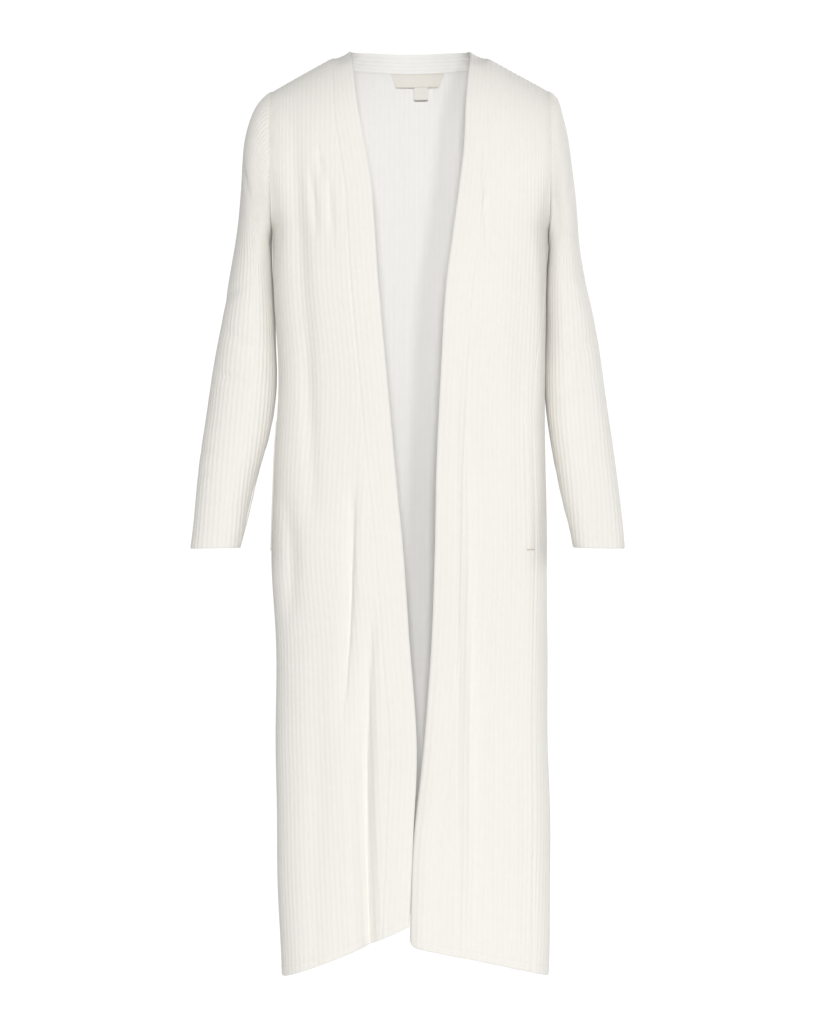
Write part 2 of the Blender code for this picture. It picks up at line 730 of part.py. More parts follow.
def build():
    clear_scene()
    bpy.context.scene.collection.children.link(bpy.data.collections.new("duster_cardigan"))
    _, back_inner = body_panel("back", 2 * RIB_PITCH)
    body_panel("front_left", RIB_PITCH)
    body_panel("front_right", RIB_PITCH)
    front_band()
    sleeve("sleeve_left", 1)
    sleeve("sleeve_right", -1)
    pocket_welt("pocket_welt_left", "front_left")
    pocket_welt("pocket_welt_right", "front_right")
    label_and_tab(back_inner)


build()
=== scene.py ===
"""The open cardigan dressed as in the photograph: rib-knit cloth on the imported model's form.

Metres, +Z up, the front faces -Y and the wearer's left is +X. Tables are in millimetres.
"""

import functools
import math

import bpy
import numpy as np
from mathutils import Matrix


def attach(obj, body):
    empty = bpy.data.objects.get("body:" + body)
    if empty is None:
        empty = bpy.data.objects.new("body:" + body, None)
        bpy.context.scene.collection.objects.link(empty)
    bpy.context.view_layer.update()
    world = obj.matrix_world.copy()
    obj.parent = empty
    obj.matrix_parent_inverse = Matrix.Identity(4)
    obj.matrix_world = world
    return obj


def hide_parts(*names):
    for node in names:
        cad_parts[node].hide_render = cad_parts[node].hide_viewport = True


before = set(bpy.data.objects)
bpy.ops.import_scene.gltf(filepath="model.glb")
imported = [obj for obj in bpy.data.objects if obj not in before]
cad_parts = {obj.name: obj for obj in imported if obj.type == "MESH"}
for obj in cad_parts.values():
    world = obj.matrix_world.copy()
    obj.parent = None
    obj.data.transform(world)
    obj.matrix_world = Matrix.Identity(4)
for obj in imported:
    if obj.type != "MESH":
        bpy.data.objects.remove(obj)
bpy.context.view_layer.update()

MM = 0.001

# Knit and seams
RIB_PITCH = 0.007
WALL = 0.0015
BAND_RIBS = 5

# Shoulder line and neck
NECK_HALF = 0.106
NECK_CORNER_HEIGHT = -0.009
SHOULDER_HALF = 0.187
SHOULDER_SLOPE = 0.56
SHOULDER_DOME = 0.110
DOME_POWER = 2.2

# Round of a level section: 2 is an ellipse, more is squarer
BODY_ROUND = 2.4
SLEEVE_ROUND = 2.2

# One row for each level of the body, from the shoulder line to the hem.
#   drop        below the shoulder's end
#   slope       share of the shoulder line's slope, or at the back of the neckline's
#   hem         share of the hem's rise towards the middle
#   half_*      half width, at the armhole's edge or the side
#   arm         depth at the armhole's edge, before the shoulder closes over it
#   front, back depth at the middle
#   edge_*      where each front ends, from the middle
#   band        width of the front band
#   seam_left   how far the left side seam lies forward
BODY_COLUMNS = (
    "drop", "slope", "hem", "half_right", "half_left", "arm", "front", "back",
    "edge_right", "edge_left", "band", "seam_left",
)
BODY_ROWS = (
    (0, 1, 0, 187, 187, 63, 80, 80, -83, 83, 24, 0),
    (5.5, 0.97, 0, 187, 187, 63, 80, 80, -81, 82, 24.5, 0),
    (16, 0.9, 0, 187, 187, 63, 81, 81, -79, 81, 26, 0),
    (38, 0.8, 0, 187, 187, 63, 85, 85, -75, 78, 28.5, 0),
    (72, 0.65, 0, 187, 187, 63, 92, 91, -70, 74, 31, 0),
    (112, 0.45, 0, 187, 187, 63, 99, 94, -60.5, 71.5, 33.5, 0),
    (152, 0.25, 0, 187, 187, 50, 103, 95, -51.5, 65.5, 35, 0),
    (181, 0.08, 0, 187, 187, 30, 105, 94, -48, 60, 36, 0),
    (195.5, 0, 0, 186.5, 186.5, 0, 106, 93, -46.5, 57.5, 36.5, 0),
    (275, 0, 0, 184, 183.5, 0, 106, 90, -41, 47, 37, 30),
    (395, 0, 0, 177.5, 181, 0, 98, 84, -30, 40, 37, 50),
    (515, 0, 0, 183.5, 182, 0, 96, 88, -19, 34.5, 37, 50),
    (625, 0, 0, 187, 185, 0, 96, 94, -8.5, 32.5, 37, 50),
    (745, 0, 0.05, 182, 186, 0, 90, 90, -0.5, 28, 37, 50),
    (895, 0, 0.25, 181, 187, 0, 84, 85, 9, 17.5, 37, 48),
    (1045, 0, 0.6, 178, 189.5, 0, 79, 80, 4.3, 3.4, 37, 46),
    (1195.5, 0, 1, 173, 188, 0, 76, 77, -0.8, -1, 37, 44),
)
UNDERARM = 8
LENGTHS = [column for column in BODY_COLUMNS if column not in ("slope", "hem")]

# How far the hem rises to the middle, and how evenly, for each panel
HEM_RISE = {"front_right": (0.075, 1.06), "front_left": (0.048, 0.8), "back": (0.068, 1.2)}
# Rounding of the left front's lower corner, and where that corner is
HEM_CORNER = 0.010
HEM_CORNER_X = -0.001

# Back neck: the seam's half width and height, and the band's top edge above it
NECK_COLUMNS = ("seam_x", "seam_z", "edge_x", "edge_y", "edge_z")
NECK_ROWS = (
    (103, -11.5, 81.5, 11, 3),
    (98, -13.5, 79, 22, 3.8),
    (90, -15, 75, 33, 5),
    (75, -16, 65, 45, 6.5),
    (50, -16.8, 44, 57, 7.8),
    (25, -17, 22.5, 66, 8.3),
    (0, -17, 0, 69, 8.5),
)

# Soft troughs that run down a panel, with their heights and distances from the middle;
# wide is the width on the left, where it differs from the right's
FOLD_COLUMNS = ("top", "bottom", "x_top", "x_middle", "x_bottom", "depth", "width", "wide")
FOLD_ROWS = {
    "front_right": (
        (-560, -940, -73, -77, -92, 5, 10),
        (-740, -1340, -50, -59, -45, 12, 13, 7),
        (-70, -640, -158, -142, -127, 4, 9),
    ),
    "front_left": (
        (-330, -1330, 73, 82, 88, 5, 9),
        (-620, -1330, 126, 119, 112, 5, 14),
    ),
    "back": (
        (-450, -1330, -92, -96, -104, 8, 18),
        (-620, -1330, 66, 72, 84, 8, 17),
        (-280, -1020, -12, -2, 6, 5, 20),
        (-760, -1330, 132, 138, 141, 6, 14),
    ),
}
# Finer folds on the cloth, in the same columns; a depth below 0 is a ridge
FINE_FOLD_ROWS = {
    "front_right": (
        (-165, -262, -132, -128, -124, 3.2, 3.5),
        (-140, -182, -122, -119, -116, 2.2, 3),
        (-180, -268, -107, -105, -102, 2.6, 3.5),
        (-95, -380, -158, -152, -148, 2.5, 8),
        (-370, -640, -143, -136, -130, 2.5, 7),
        (-600, -770, -168, -160, -163, 5.0, 6, 9),
        (-500, -1000, -64, -66, -70, -2.0, 8),
        (-780, -1330, -120, -124, -130, 2.5, 10),
        (-900, -1330, -84, -78, -66, -2.5, 9),
        (-780, -1330, -50.5, -59, -45.5, 2.5, 7.0, 2.2),
        (-590, -900, -75, -79, -90, 4.0, 4.0, 2.0),
        (-1000, -1330, -66, -66, -62, -3.0, 14, 5),
        (-560, -800, -60, -68, -72, -2.0, 5),
    ),
    "front_left": (
        (-110, -310, 97, 98, 100, 1.6, 2.5),
        (-260, -900, 150, 146, 140, 2.0, 8),
        (-520, -1330, 64, 62, 60, -2.5, 8),
        (-700, -1330, 150, 158, 160, 2.5, 9),
        (-400, -1330, 68, 70, 72, 3.5, 4, 13),
        (-620, -1330, 104, 100, 98, -1.5, 8),
    ),
    "back": (
        (-140, -600, 60, 56, 50, 2.5, 9),
        (-160, -560, -70, -64, -60, 2.5, 9),
        (-820, -1330, 20, 26, 30, 3.0, 10),
        (-700, -1330, -46, -44, -40, -3.0, 12),
    ),
}
# Fine folds fade this close to a side seam, and all folds fade towards their ends
SIDE_FADE = 0.022
FOLD_FADE = 0.7

# The front edges turn back a little, more towards the hem
CURL_WIDTH = 0.022
CURL_DEPTH = {"front_right": (0.0015, 0.004), "front_left": (0.0025, 0.008)}
CURL_TOP, CURL_BOTTOM = -0.70, -1.15

# One row for each ring of a sleeve after the armhole: its outer and inner point seen
# from the front, its half depth and how far back its middle lies.
SLEEVE_COLUMNS = (
    "outer_z", "outer_right", "outer_left", "inner_z", "inner_right", "inner_left",
    "half_depth", "back",
)
SLEEVE_ROWS = (
    (-64, 199, 198.5, -252.5, 188.8, 188.8, 64, 0),
    (-84, 212, 204.5, -257, 189, 188.8, 65.5, 2),
    (-125, 223.5, 214.5, -265, 188.9, 188.8, 66, 5),
    (-190, 230, 223, -285, 188.2, 188, 65, 10),
    (-262, 236.5, 230.5, -320, 187, 186.8, 62, 15),
    (-345, 252, 245.5, -382, 183.6, 185.6, 57, 18),
    (-430, 267.5, 261, -447, 181, 184, 51, 16),
    (-510, 279, 271.5, -516, 191.5, 188.5, 45, 9),
    (-590, 287.5, 282, -593, 211.5, 204, 39, -1),
    (-673, 297, 288.5, -672, 230, 221, 32, -13),
)
# How far a sleeve's first ring keeps off the body under the arm
SLEEVE_CLEAR = 0.0006

# How finely a level is measured, the step for its directions, how far past its ends it
# goes, how close columns may be, and what counts as the same place
SAMPLES = 700
NUDGE = 0.004
SPARE_DEGREES = 35
CROWDED = 0.4
ROUNDING = 1e-9


def table(rows, columns, lengths):
    """A table's numbers as an array, with its lengths in metres."""
    scale = np.array([MM if column in lengths else 1.0 for column in columns])
    return np.array(rows, float) * scale


BODY = table(BODY_ROWS, BODY_COLUMNS, LENGTHS)
NECK = table(NECK_ROWS, NECK_COLUMNS, NECK_COLUMNS)
SLEEVE = table(SLEEVE_ROWS, SLEEVE_COLUMNS, SLEEVE_COLUMNS)


def smooth_rows(rows, place):
    """The table's values at fractional row numbers, on smooth curves through its rows."""
    last = len(rows) - 1
    place = np.clip(np.asarray(place, float), 0, last)
    index = np.minimum(place.astype(int), last - 1)
    t = (place - index)[..., None]
    start, end = rows[index], rows[index + 1]
    leave = (end - rows[np.maximum(index - 1, 0)]) / 2
    arrive = (rows[np.minimum(index + 2, last)] - start) / 2
    return (
        start * (2 * t**3 - 3 * t**2 + 1)
        + leave * (t**3 - 2 * t**2 + t)
        + end * (3 * t**2 - 2 * t**3)
        + arrive * (t**3 - t**2)
    )


NECK = smooth_rows(NECK, np.linspace(0, len(NECK) - 1, 25))


def body_row(place):
    return dict(zip(BODY_COLUMNS, np.moveaxis(smooth_rows(BODY, place), -1, 0)))


def unit(vectors):
    return vectors / np.linalg.norm(vectors, axis=-1, keepdims=True)


def ridge_height(x):
    """Where front and back would meet above x, along the shoulder line's slope."""
    return NECK_CORNER_HEIGHT - SHOULDER_SLOPE * (np.abs(x) - NECK_HALF)


SHOULDER_END = float(ridge_height(SHOULDER_HALF))


def top_outline(x, behind):
    """The panel's top edge: the shoulder line, and behind the neck its lower neckline."""
    seam_x = np.append(NECK[::-1, 0], NECK_HALF)
    seam_z = np.append(NECK[::-1, 1], NECK_CORNER_HEIGHT)
    neckline = np.interp(np.abs(x), seam_x, seam_z)
    return np.where(behind & (np.abs(x) < NECK_HALF), neckline, ridge_height(x))


def hem_rise(panel, x, half, behind):
    """How far the hem stands above the sides' lowest point."""
    inward = np.clip(1 - np.abs(x) / half, 0, 1)
    if panel == "back":
        rise, power = HEM_RISE["back"]
        side_rise, side_power = HEM_RISE["front_left"]
        arch = (0.5 - 0.5 * np.cos(math.pi * inward)) ** power
        return np.where(behind, rise * arch, side_rise * inward**side_power)
    rise, power = HEM_RISE[panel]
    corner = 0.0
    if panel == "front_left":
        near = np.clip(1 - (x - HEM_CORNER_X) / HEM_CORNER, 0, 1)
        corner = HEM_CORNER * (1 - np.sqrt(1 - near**2))
    return rise * inward**power + corner


def dome(below):
    """How much of the full depth the cloth has this far below the shoulder line."""
    share = np.clip(below / SHOULDER_DOME, 0, 1)
    return (1 - (1 - share) ** DOME_POWER) ** (1 / DOME_POWER)


def body_points(panel, angle, place):
    """The smooth form: angle goes round from the wearer's left side by way of the back."""
    angle, place = np.broadcast_arrays(np.asarray(angle, float), place)
    row = body_row(place)
    along, across = np.cos(angle), np.sin(angle)
    behind = across > 0
    depth = np.where(behind, row["back"], row["front"])
    half = np.where(along > 0, row["half_left"], row["half_right"])
    arm = np.clip(row["arm"], 0, None)
    wide = half / (1 - (arm / depth) ** BODY_ROUND) ** (1 / BODY_ROUND)
    x = np.sign(along) * wide * np.abs(along) ** (2 / BODY_ROUND)
    height = SHOULDER_END - row["drop"]
    tilt = row["slope"] * (top_outline(x, behind) - SHOULDER_END)
    z = height + tilt + row["hem"] * hem_rise(panel, x, half, behind)
    closing = dome(ridge_height(x) - z)
    y = np.sign(across) * depth * np.abs(across) ** (2 / BODY_ROUND) * closing
    return np.stack([x, y, z], axis=-1)


def body_normals(panel, angle, place):
    round_ = body_points(panel, angle + NUDGE, place) - body_points(panel, angle - NUDGE, place)
    down = body_points(panel, angle, place + NUDGE) - body_points(panel, angle, place - NUDGE)
    return unit(np.cross(down, round_))


def level_lengths(points, middle):
    """Distance along a level line of points, from its point number middle."""
    steps = np.hypot(np.diff(points[:, 0]), np.diff(points[:, 1]))
    lengths = np.concatenate([[0.0], np.cumsum(steps)])
    return lengths - lengths[middle]


def panel_angles(panel):
    """Angles across a panel: a front from its side, the back from its right side."""
    spare = math.radians(SPARE_DEGREES)
    if panel == "back":
        return np.linspace(math.pi + spare, -spare, 2 * SAMPLES + 1)
    from_side = np.linspace(0, math.pi / 2 + spare, SAMPLES)
    return -from_side if panel == "front_left" else from_side - math.pi


def outward(panel, x):
    """Distance that falls from a front's side to the middle, or that grows across the back."""
    return -x if panel == "front_right" else x


@functools.lru_cache(maxsize=None)
def wale_places(panel, place):
    """Angles across a level, and which part of the panel's width each one is.

    A rib keeps its distance along the cloth from the side seam, or from the middle of
    the back. Above the underarm it goes straight up.
    """
    angles = panel_angles(panel)
    middle = SAMPLES if panel == "back" else 0
    low = body_points(panel, angles, max(place, UNDERARM))
    arcs = level_lengths(low, middle)
    if place >= UNDERARM:
        return angles, arcs
    x_low = outward(panel, low[:, 0])
    here = outward(panel, body_points(panel, angles, place)[:, 0])
    if panel == "back":
        upper = np.abs(angles - math.pi / 2) < math.pi / 2
        here, x_low, arcs = here[upper], x_low[upper], arcs[upper]
        past = here - np.clip(here, x_low[0], x_low[-1])
        return angles[upper], np.interp(here, x_low, arcs) + past
    widest = x_low[0]
    arcs_here = np.interp(-here, -x_low, arcs)
    return angles, np.where(here > widest, widest - here, arcs_here)


@functools.lru_cache(maxsize=None)
def panel_ends(panel, place):
    """Where a panel starts and ends along a level: side to edge, or right to left."""
    angles, arcs = wale_places(panel, place)
    row = body_row(place)
    points = body_points(panel, angles, place)
    if panel == "back":
        if place < UNDERARM:
            ends = np.interp([-row["half_right"], row["half_left"]], points[:, 0], arcs)
            return float(ends[0]), float(ends[1])
        round_left = points[:, 0] > 0
        left = np.interp(row["seam_left"], -points[round_left, 1], arcs[round_left])
        right = np.interp(0.0, points[~round_left, 1], arcs[~round_left])
        return float(right), float(left)
    side = "left" if panel == "front_left" else "right"
    falling = -outward(panel, points[:, 0])
    edge = np.interp(-outward(panel, row["edge_" + side]), falling, arcs)
    if place < UNDERARM:
        start = np.interp(-row["half_" + side], falling, arcs)
    else:
        seam = row["seam_left"] if side == "left" else 0.0
        forward = -points[:SAMPLES // 2, 1]
        start = np.interp(seam, forward, arcs[:SAMPLES // 2])
    return float(start), float(edge)


@functools.lru_cache(maxsize=None)
def band_start(panel, place):
    """Where the band's seam edge lies on a front; on the shoulder line it meets the neck's."""
    if place > 0:
        return panel_ends(panel, place)[1] - float(body_row(place)["band"])
    angles, arcs = wale_places(panel, 0)
    falling = -outward(panel, body_points(panel, angles, 0)[:, 0])
    return float(np.interp(-NECK_HALF, falling, arcs))


def fold_depth(rows, points):
    """How far the cloth is pushed in by a panel's troughs."""
    depth = np.zeros(len(points))
    for row in rows:
        fold = dict(zip(FOLD_COLUMNS, row))
        top, bottom = fold["top"] * MM, fold["bottom"] * MM
        t = np.clip((top - points[:, 2]) / (top - bottom), 0, 1)
        centre = (
            fold["x_top"] * (1 - t) * (1 - 2 * t)
            + fold["x_middle"] * 4 * t * (1 - t)
            + fold["x_bottom"] * t * (2 * t - 1)
        ) * MM
        aside = points[:, 0] - centre
        aside = aside / np.where(aside < 0, fold["width"], fold.get("wide", fold["width"])) / MM
        depth += fold["depth"] * MM * np.exp(-(aside**2) / 2) * np.sin(math.pi * t) ** FOLD_FADE
    return depth


def curl_depth(panel, points, to_edge):
    """How far a front edge turns back."""
    high, low = CURL_DEPTH[panel]
    lower = np.clip((CURL_TOP - points[:, 2]) / (CURL_TOP - CURL_BOTTOM), 0, 1)
    near = np.clip(1 - to_edge / CURL_WIDTH, 0, 1)
    return (high + (low - high) * lower) * near**2


def cloth(panel, place, arcs):
    """Points and outward directions of a panel along one level."""
    arcs = np.asarray(arcs)
    angles, places = wale_places(panel, place)
    order = np.argsort(places)
    angle = np.interp(arcs, places[order], angles[order])
    points = body_points(panel, angle, place)
    normals = body_normals(panel, angle, place)
    start, edge = panel_ends(panel, place)
    to_side = arcs - start
    if panel == "back":
        to_side = np.minimum(to_side, edge - arcs)
    away = np.clip(to_side / SIDE_FADE, 0, 1)
    away = away * away * (3 - 2 * away)
    fine = away * fold_depth(FINE_FOLD_ROWS[panel], points)
    move = fold_depth(FOLD_ROWS[panel], points) + fine
    move = move + ripple(points)
    if panel != "back":
        move = move + curl_depth(panel, points, edge - arcs)
    return points - normals * move[:, None], normals


def columns_between(start, end, step, keep=()):
    """Places a step apart, with both ends and the kept ones, and none crowded."""
    fixed = np.array([start, *keep, end])
    count = np.arange(math.ceil(start / step), math.floor(end / step) + 1)
    clear = CROWDED * step
    places = [place for place in count * step if np.abs(fixed - place).min() > clear]
    return np.sort(np.concatenate([fixed, places]))


@functools.lru_cache(maxsize=None)
def neck_knots():
    """Points and outward directions of the back neck's seam, at each row of its table."""
    angles, arcs = wale_places("back", 0)
    xs = body_points("back", angles, 0)[:, 0]
    knot_x = np.concatenate([[-NECK_HALF], -NECK[:, 0], NECK[-2::-1, 0], [NECK_HALF]])
    knot_arcs = np.interp(knot_x, xs, arcs)
    points, normals = cloth("back", 0, knot_arcs)
    return knot_arcs, points, normals


def neckline_row(arcs):
    """The back's top edge: straight between the knots of the neck's seam."""
    points, normals = cloth("back", 0, arcs)
    knot_arcs, knot_points, knot_normals = neck_knots()
    inside = (arcs >= knot_arcs[0]) & (arcs <= knot_arcs[-1])
    points[inside] = points_at(arcs[inside], knot_arcs, knot_points)
    normals[inside] = points_at(arcs[inside], knot_arcs, knot_normals)
    return points, unit(normals)


def zipped(first, second):
    """Triangles between two rows of (place, vertex), whatever their counts."""
    triangles = []
    i = j = 0
    while i < len(first) - 1 or j < len(second) - 1:
        next_first = first[i + 1][0] if i < len(first) - 1 else math.inf
        next_second = second[j + 1][0] if j < len(second) - 1 else math.inf
        if next_first <= next_second + ROUNDING:
            triangles.append((first[i][1], first[i + 1][1], second[j][1]))
            i += 1
        else:
            triangles.append((first[i][1], second[j + 1][1], second[j][1]))
            j += 1
    return triangles


def signed_volume(vertices, faces):
    corners = np.asarray(vertices)[np.asarray(faces)]
    return float(np.linalg.det(corners).sum())


def side_rim(rings, end, turned):
    """The narrow strip that closes a wall along one side."""
    count = len(rings) // 2
    faces = []
    for row in range(count - 1):
        here, below = rings[row][end][1], rings[row + 1][end][1]
        inner_here, inner_below = rings[-1 - row][end][1], rings[-2 - row][end][1]
        pair = [(here, below, inner_below), (here, inner_below, inner_here)]
        faces += [face if turned else face[::-1] for face in pair]
    return faces


# The visible knit: how fine the mesh is, and how ribs, seams and edges are shaped
OUTER_STEP = RIB_PITCH / 6
INNER_STEP = RIB_PITCH / 4
ROW_STEP = 0.010
TOP_ROW_STEP = 0.004
TOP_PART = 0.080
END_STEPS = np.array([0.0025, 0.0008, 0.0])
RIB_SHARPNESS = 0.8
BODY_RIB = 0.0004
SLEEVE_RIB = 0.0006
INNER_RIB = 0.0004
RIB_FADE = 0.0025
SEAM_DIP = 0.0005
SEAM_WIDTH = 0.0018

# At a cut edge the wall rounds off and its ribs get lower, on the row before it less so
RIM_ROUND = 0.0006
RIM_RIB = 0.6
NEXT_RIM = 0.4
SHARP_DEGREES = 60

# The band: its columns, where its edge rounds off, and how its corners are smoothed
BAND_SHARES = np.linspace(0, 1, 61)
BAND_EDGE = 0.96
BAND_LAST_COLUMN = 0.985
SMOOTH_ROUNDS = 12
SMOOTH_ROWS = 5
SMOOTH_PULL = 1.6

# Slow waves of the body's cloth: size, how fast each runs along x, y and z, and its start
RIPPLES = (
    (1.0, 29, 8, 2.3, 0.4),
    (0.7, 53, 17, -3.7, 1.0),
    (0.6, 17, -11, 11, 0.7),
    (0.4, -9, 13, 31, 0.4),
)
RIPPLE_TOP = -0.25
RIPPLE_HIGH = 0.0005
RIPPLE_MORE = 0.0012

# Sleeves: points round a ring, rows down, and how the cloth turns out of the armhole
RING_POINTS = 400
SLEEVE_STEP = 0.008
SLEEVE_TOP_ROWS = (0, 0.002, 0.004)
SLEEVE_TURN_ROWS = 4
SLEEVE_RIPPLE = 0.0006
SLEEVE_RIPPLE_FADE = 0.03
ARM_PLACES = np.linspace(0, UNDERARM, 6 * UNDERARM + 1)
TURN_PLACES = (0, 5, 6, 7, 8)
TURN_VALUES = (0.35, 0.35, 0.55, 0.8, 1.0)

# Small creases on the right sleeve and the left: height, distance round from the top line
# to the front (negative to the back), length round, width, slant and depth
CREASE_COLUMNS = ("z", "round", "length", "width", "slant", "depth")
CREASE_ROWS = {
    -1: (
        (-541, 22, 26, 3, 0.05, 1.8),
        (-574, 22, 24, 3, -0.04, 1.8),
        (-447, 62, 40, 9, 0.35, 3.5),
        (-395, 70, 44, 10, 0.45, 3.5),
        (-330, 40, 46, 12, -0.25, 2.4),
        (-180, 60, 34, 11, 0.8, 3),
        (-470, -50, 44, 10, -0.3, 3.2),
        (-380, -66, 46, 12, -0.4, 3.2),
        (-200, -70, 40, 12, -0.7, 3),
    ),
    1: (
        (-551, 46, 26, 3, 0.05, 1.8),
        (-588, 60, 24, 4, 0.1, 2),
        (-452, 66, 40, 9, 0.35, 3.2),
        (-400, 58, 44, 11, 0.4, 3),
        (-310, 44, 44, 12, -0.25, 2.2),
        (-190, 62, 34, 11, 0.8, 2.6),
        (-480, -52, 44, 10, -0.3, 3.2),
        (-370, -66, 46, 12, -0.4, 3),
        (-210, -70, 40, 12, -0.7, 3),
    ),
}

# Pocket edges: their ends, distance from the side seam and relief
POCKET_TOP, POCKET_BOTTOM = -0.500, -0.676
POCKET_INSET = {"front_right": 0.003, "front_left": 0.006}
POCKET_WIDTH = 0.009
WELT_LIFT = 0.0006
WELT_HEIGHT = 0.0008
WELT_STITCH = 0.0002
WELT_ROWS = 60
WELT_COLUMNS = 13

# Label and size tab, on the inside of the back at these heights and row numbers
INSIDE_Z = (-0.053, -0.0375, -0.0225, -0.0170)
INSIDE_PLACES = (2.6, 1.9, 1.0, 0.2)
LABEL_TOP = (-0.0265, 0.0475)
LABEL_BOTTOM = (-0.0200, 0.0400)
LABEL_Z = (-0.0180, -0.0370)
LABEL_WALL = 0.0008
LABEL_OFF = 0.0006
LABEL_BULGE = 0.0022
TAB_X = (0.0060, 0.0245)
TAB_Z = (-0.0365, -0.0525)
TAB_OFF = 0.0032
TAB_FOLD = 0.0016
TAB_WALL = 0.0006
TAB_TURN = 0.4

# Threads: the shape of one stitch as shares of its length and thickness, then lengths
SPINDLE = ((0, 0.3), (0.15, 0.85), (0.5, 1.0), (0.85, 0.85), (1, 0.3))
SPINDLE_SIDES = 6
SPINDLE_SIDE = (0.31, 0.92, 0.24)
HEM_ABOVE = 0.020
HEM_STEP = 0.0035
HEM_STITCH = 0.0028
HEM_MARGIN = 0.004
HEM_THREAD = 0.00028
TACK_LEVELS = (-0.0006, 0.0, 0.0006)
TACK_LIFT = 0.0004
TACK_MARGIN = 0.002
TACK_THICK = 0.0003
LABEL_STEP = 0.0026
LABEL_STITCH = 0.0022
LABEL_MARGIN = 0.001
LABEL_THREAD = 0.0004

CREAM = (0.885, 0.862, 0.812)
# Lighter, cooler cream on the inner skin: painted light, standing in for the light that reaches
# the inside of the garment
CREAM_REVERSE_PAINTED_LIGHT = (0.935, 0.923, 0.898)
TAPE = (0.86, 0.83, 0.77)
TAB_TAPE = (0.86, 0.84, 0.79)
THREAD = (0.86, 0.84, 0.78)
# Dark thread for the pocket tacks and the label's stitches; partly painted shade: its darkness
# also draws the shadows under the welts' ends and along the label's edges
DARK_THREAD_AND_EDGE_SHADE = (0.70, 0.64, 0.56)
# Painted shade: how much darker the rib furrows are, on the body and on the sleeves
BODY_FURROW_SHADE = 0.012
SLEEVE_FURROW_SHADE = 0.03
STITCHES_A_RIB = 4.0
COURSE = 0.0015
STITCH_SLANT = 0.55
# Painted shade in the gaps between stitch legs
STITCH_SHADE = 0.03
MOTTLE = 0.03
# Painted shade where the tape's threads dip
TAPE_FURROW_SHADE = 0.90

# The floor, the lamps (place, size and power) and the camera
FLOOR_RADIUS = 1.15
FLOOR_Z = -1.56
FLOOR_SIDES = 96
LAMPS = (
    ("front", (0.0, -4.3, 0.0), 0.5, 119.0),
    ("front_right", (0.85, -3.9, 0.2), 0.35, 22.0),
    ("right", (3.9, 0.4, 0.0), 1.4, 40.0),
    ("left", (-3.9, 0.4, 0.0), 1.4, 22.0),
    ("behind", (2.2, 3.4, 1.2), 1.6, 60.0),
)
LAMP_AIM = np.array([0.0, 0.0, -0.6])
STUDIO_LIGHT = 0.25
STUDIO_SEEN = 1.05
CAMERA_PLACE = (-0.0007, -3.5, -0.6238)
SENSOR = 24.0
FRAME_HEIGHT = 1.3885


def lengths_along(points):
    """Distance of each point of a line from its first, along the line."""
    steps = np.linalg.norm(np.diff(points, axis=0), axis=1)
    return np.concatenate([[0.0], np.cumsum(steps)])


def points_at(wanted, places, points):
    """A line's points at the wanted places, read between its own places."""
    return np.stack([np.interp(wanted, places, points[:, i]) for i in range(3)], axis=-1)


def ripple(points):
    """Slow waves that keep the cloth from lying dead flat, larger towards the hem."""
    x, y, z = points[:, 0], points[:, 1], points[:, 2]
    low = np.clip(RIPPLE_TOP - z, 0, 1)
    waves = 0.0
    for size, along_x, along_y, along_z, start in RIPPLES:
        waves = waves + size * np.sin(along_x * x + along_y * y + along_z * z + start)
    return (RIPPLE_HIGH + RIPPLE_MORE * low) * waves


def rib_wave(arcs):
    """0 in a furrow and 1 on a rounded rib."""
    return (0.5 - 0.5 * np.cos(2 * math.pi * arcs / RIB_PITCH)) ** RIB_SHARPNESS


def row_rim(number, count):
    """1 on the last row of a wall, at its cut edge, and less on the row before it."""
    return {count - 1: 1.0, count - 2: NEXT_RIM}.get(number, 0.0)


def square_to(points, normals):
    """Outward directions square to the folded cloth along a row."""
    along = unit(np.gradient(points, axis=0))
    return unit(normals - (normals * along).sum(axis=1)[:, None] * along)


def skins(points, normals, height, wave, to_seam, rim):
    """Outer and inner points of the wall, lower at a seam and rounded off at a rim of 1."""
    dip = SEAM_DIP * np.exp(-((to_seam / SEAM_WIDTH) ** 2))
    out = wave * height * (1 - RIM_RIB * rim) - dip - RIM_ROUND * rim
    into = -WALL - INNER_RIB * (1 - wave) + RIM_ROUND * rim
    return points + normals * out[:, None], points + normals * into[:, None]


def level_places():
    """Fractional row numbers of the fine rows, from the shoulder line to the hem."""
    dense = np.linspace(0, len(BODY) - 1, 3201)
    drops = np.maximum.accumulate(body_row(dense)["drop"])
    end = drops[-1]
    wanted = np.concatenate([
        np.arange(0, TOP_PART, TOP_ROW_STEP),
        np.arange(TOP_PART, end - ROW_STEP / 2, ROW_STEP),
        end - END_STEPS,
    ])
    return [float(place) for place in np.interp(wanted, drops, dense)]


PLACES = level_places()


def place_at(z):
    """Fractional row number at a height on the sides."""
    return float(np.interp(-z, BODY[:, 0] - SHOULDER_END, np.arange(len(BODY))))


def new_material(name, colour):
    """A material with its tree of nodes and its shader."""
    made = bpy.data.materials.new(name)
    made.use_nodes = True
    made.diffuse_color = (*colour, 1)
    return made, made.node_tree, made.node_tree.nodes["Principled BSDF"]


def wire(tree, node, inputs):
    """Sets a node's inputs to values or to outputs; a new node is given by its kind."""
    if isinstance(node, str):
        node = tree.nodes.new("ShaderNode" + node)
    for socket, value in dict(inputs).items():
        if isinstance(value, bpy.types.NodeSocket):
            tree.links.new(value, node.inputs[socket])
        else:
            node.inputs[socket].default_value = value
    return node


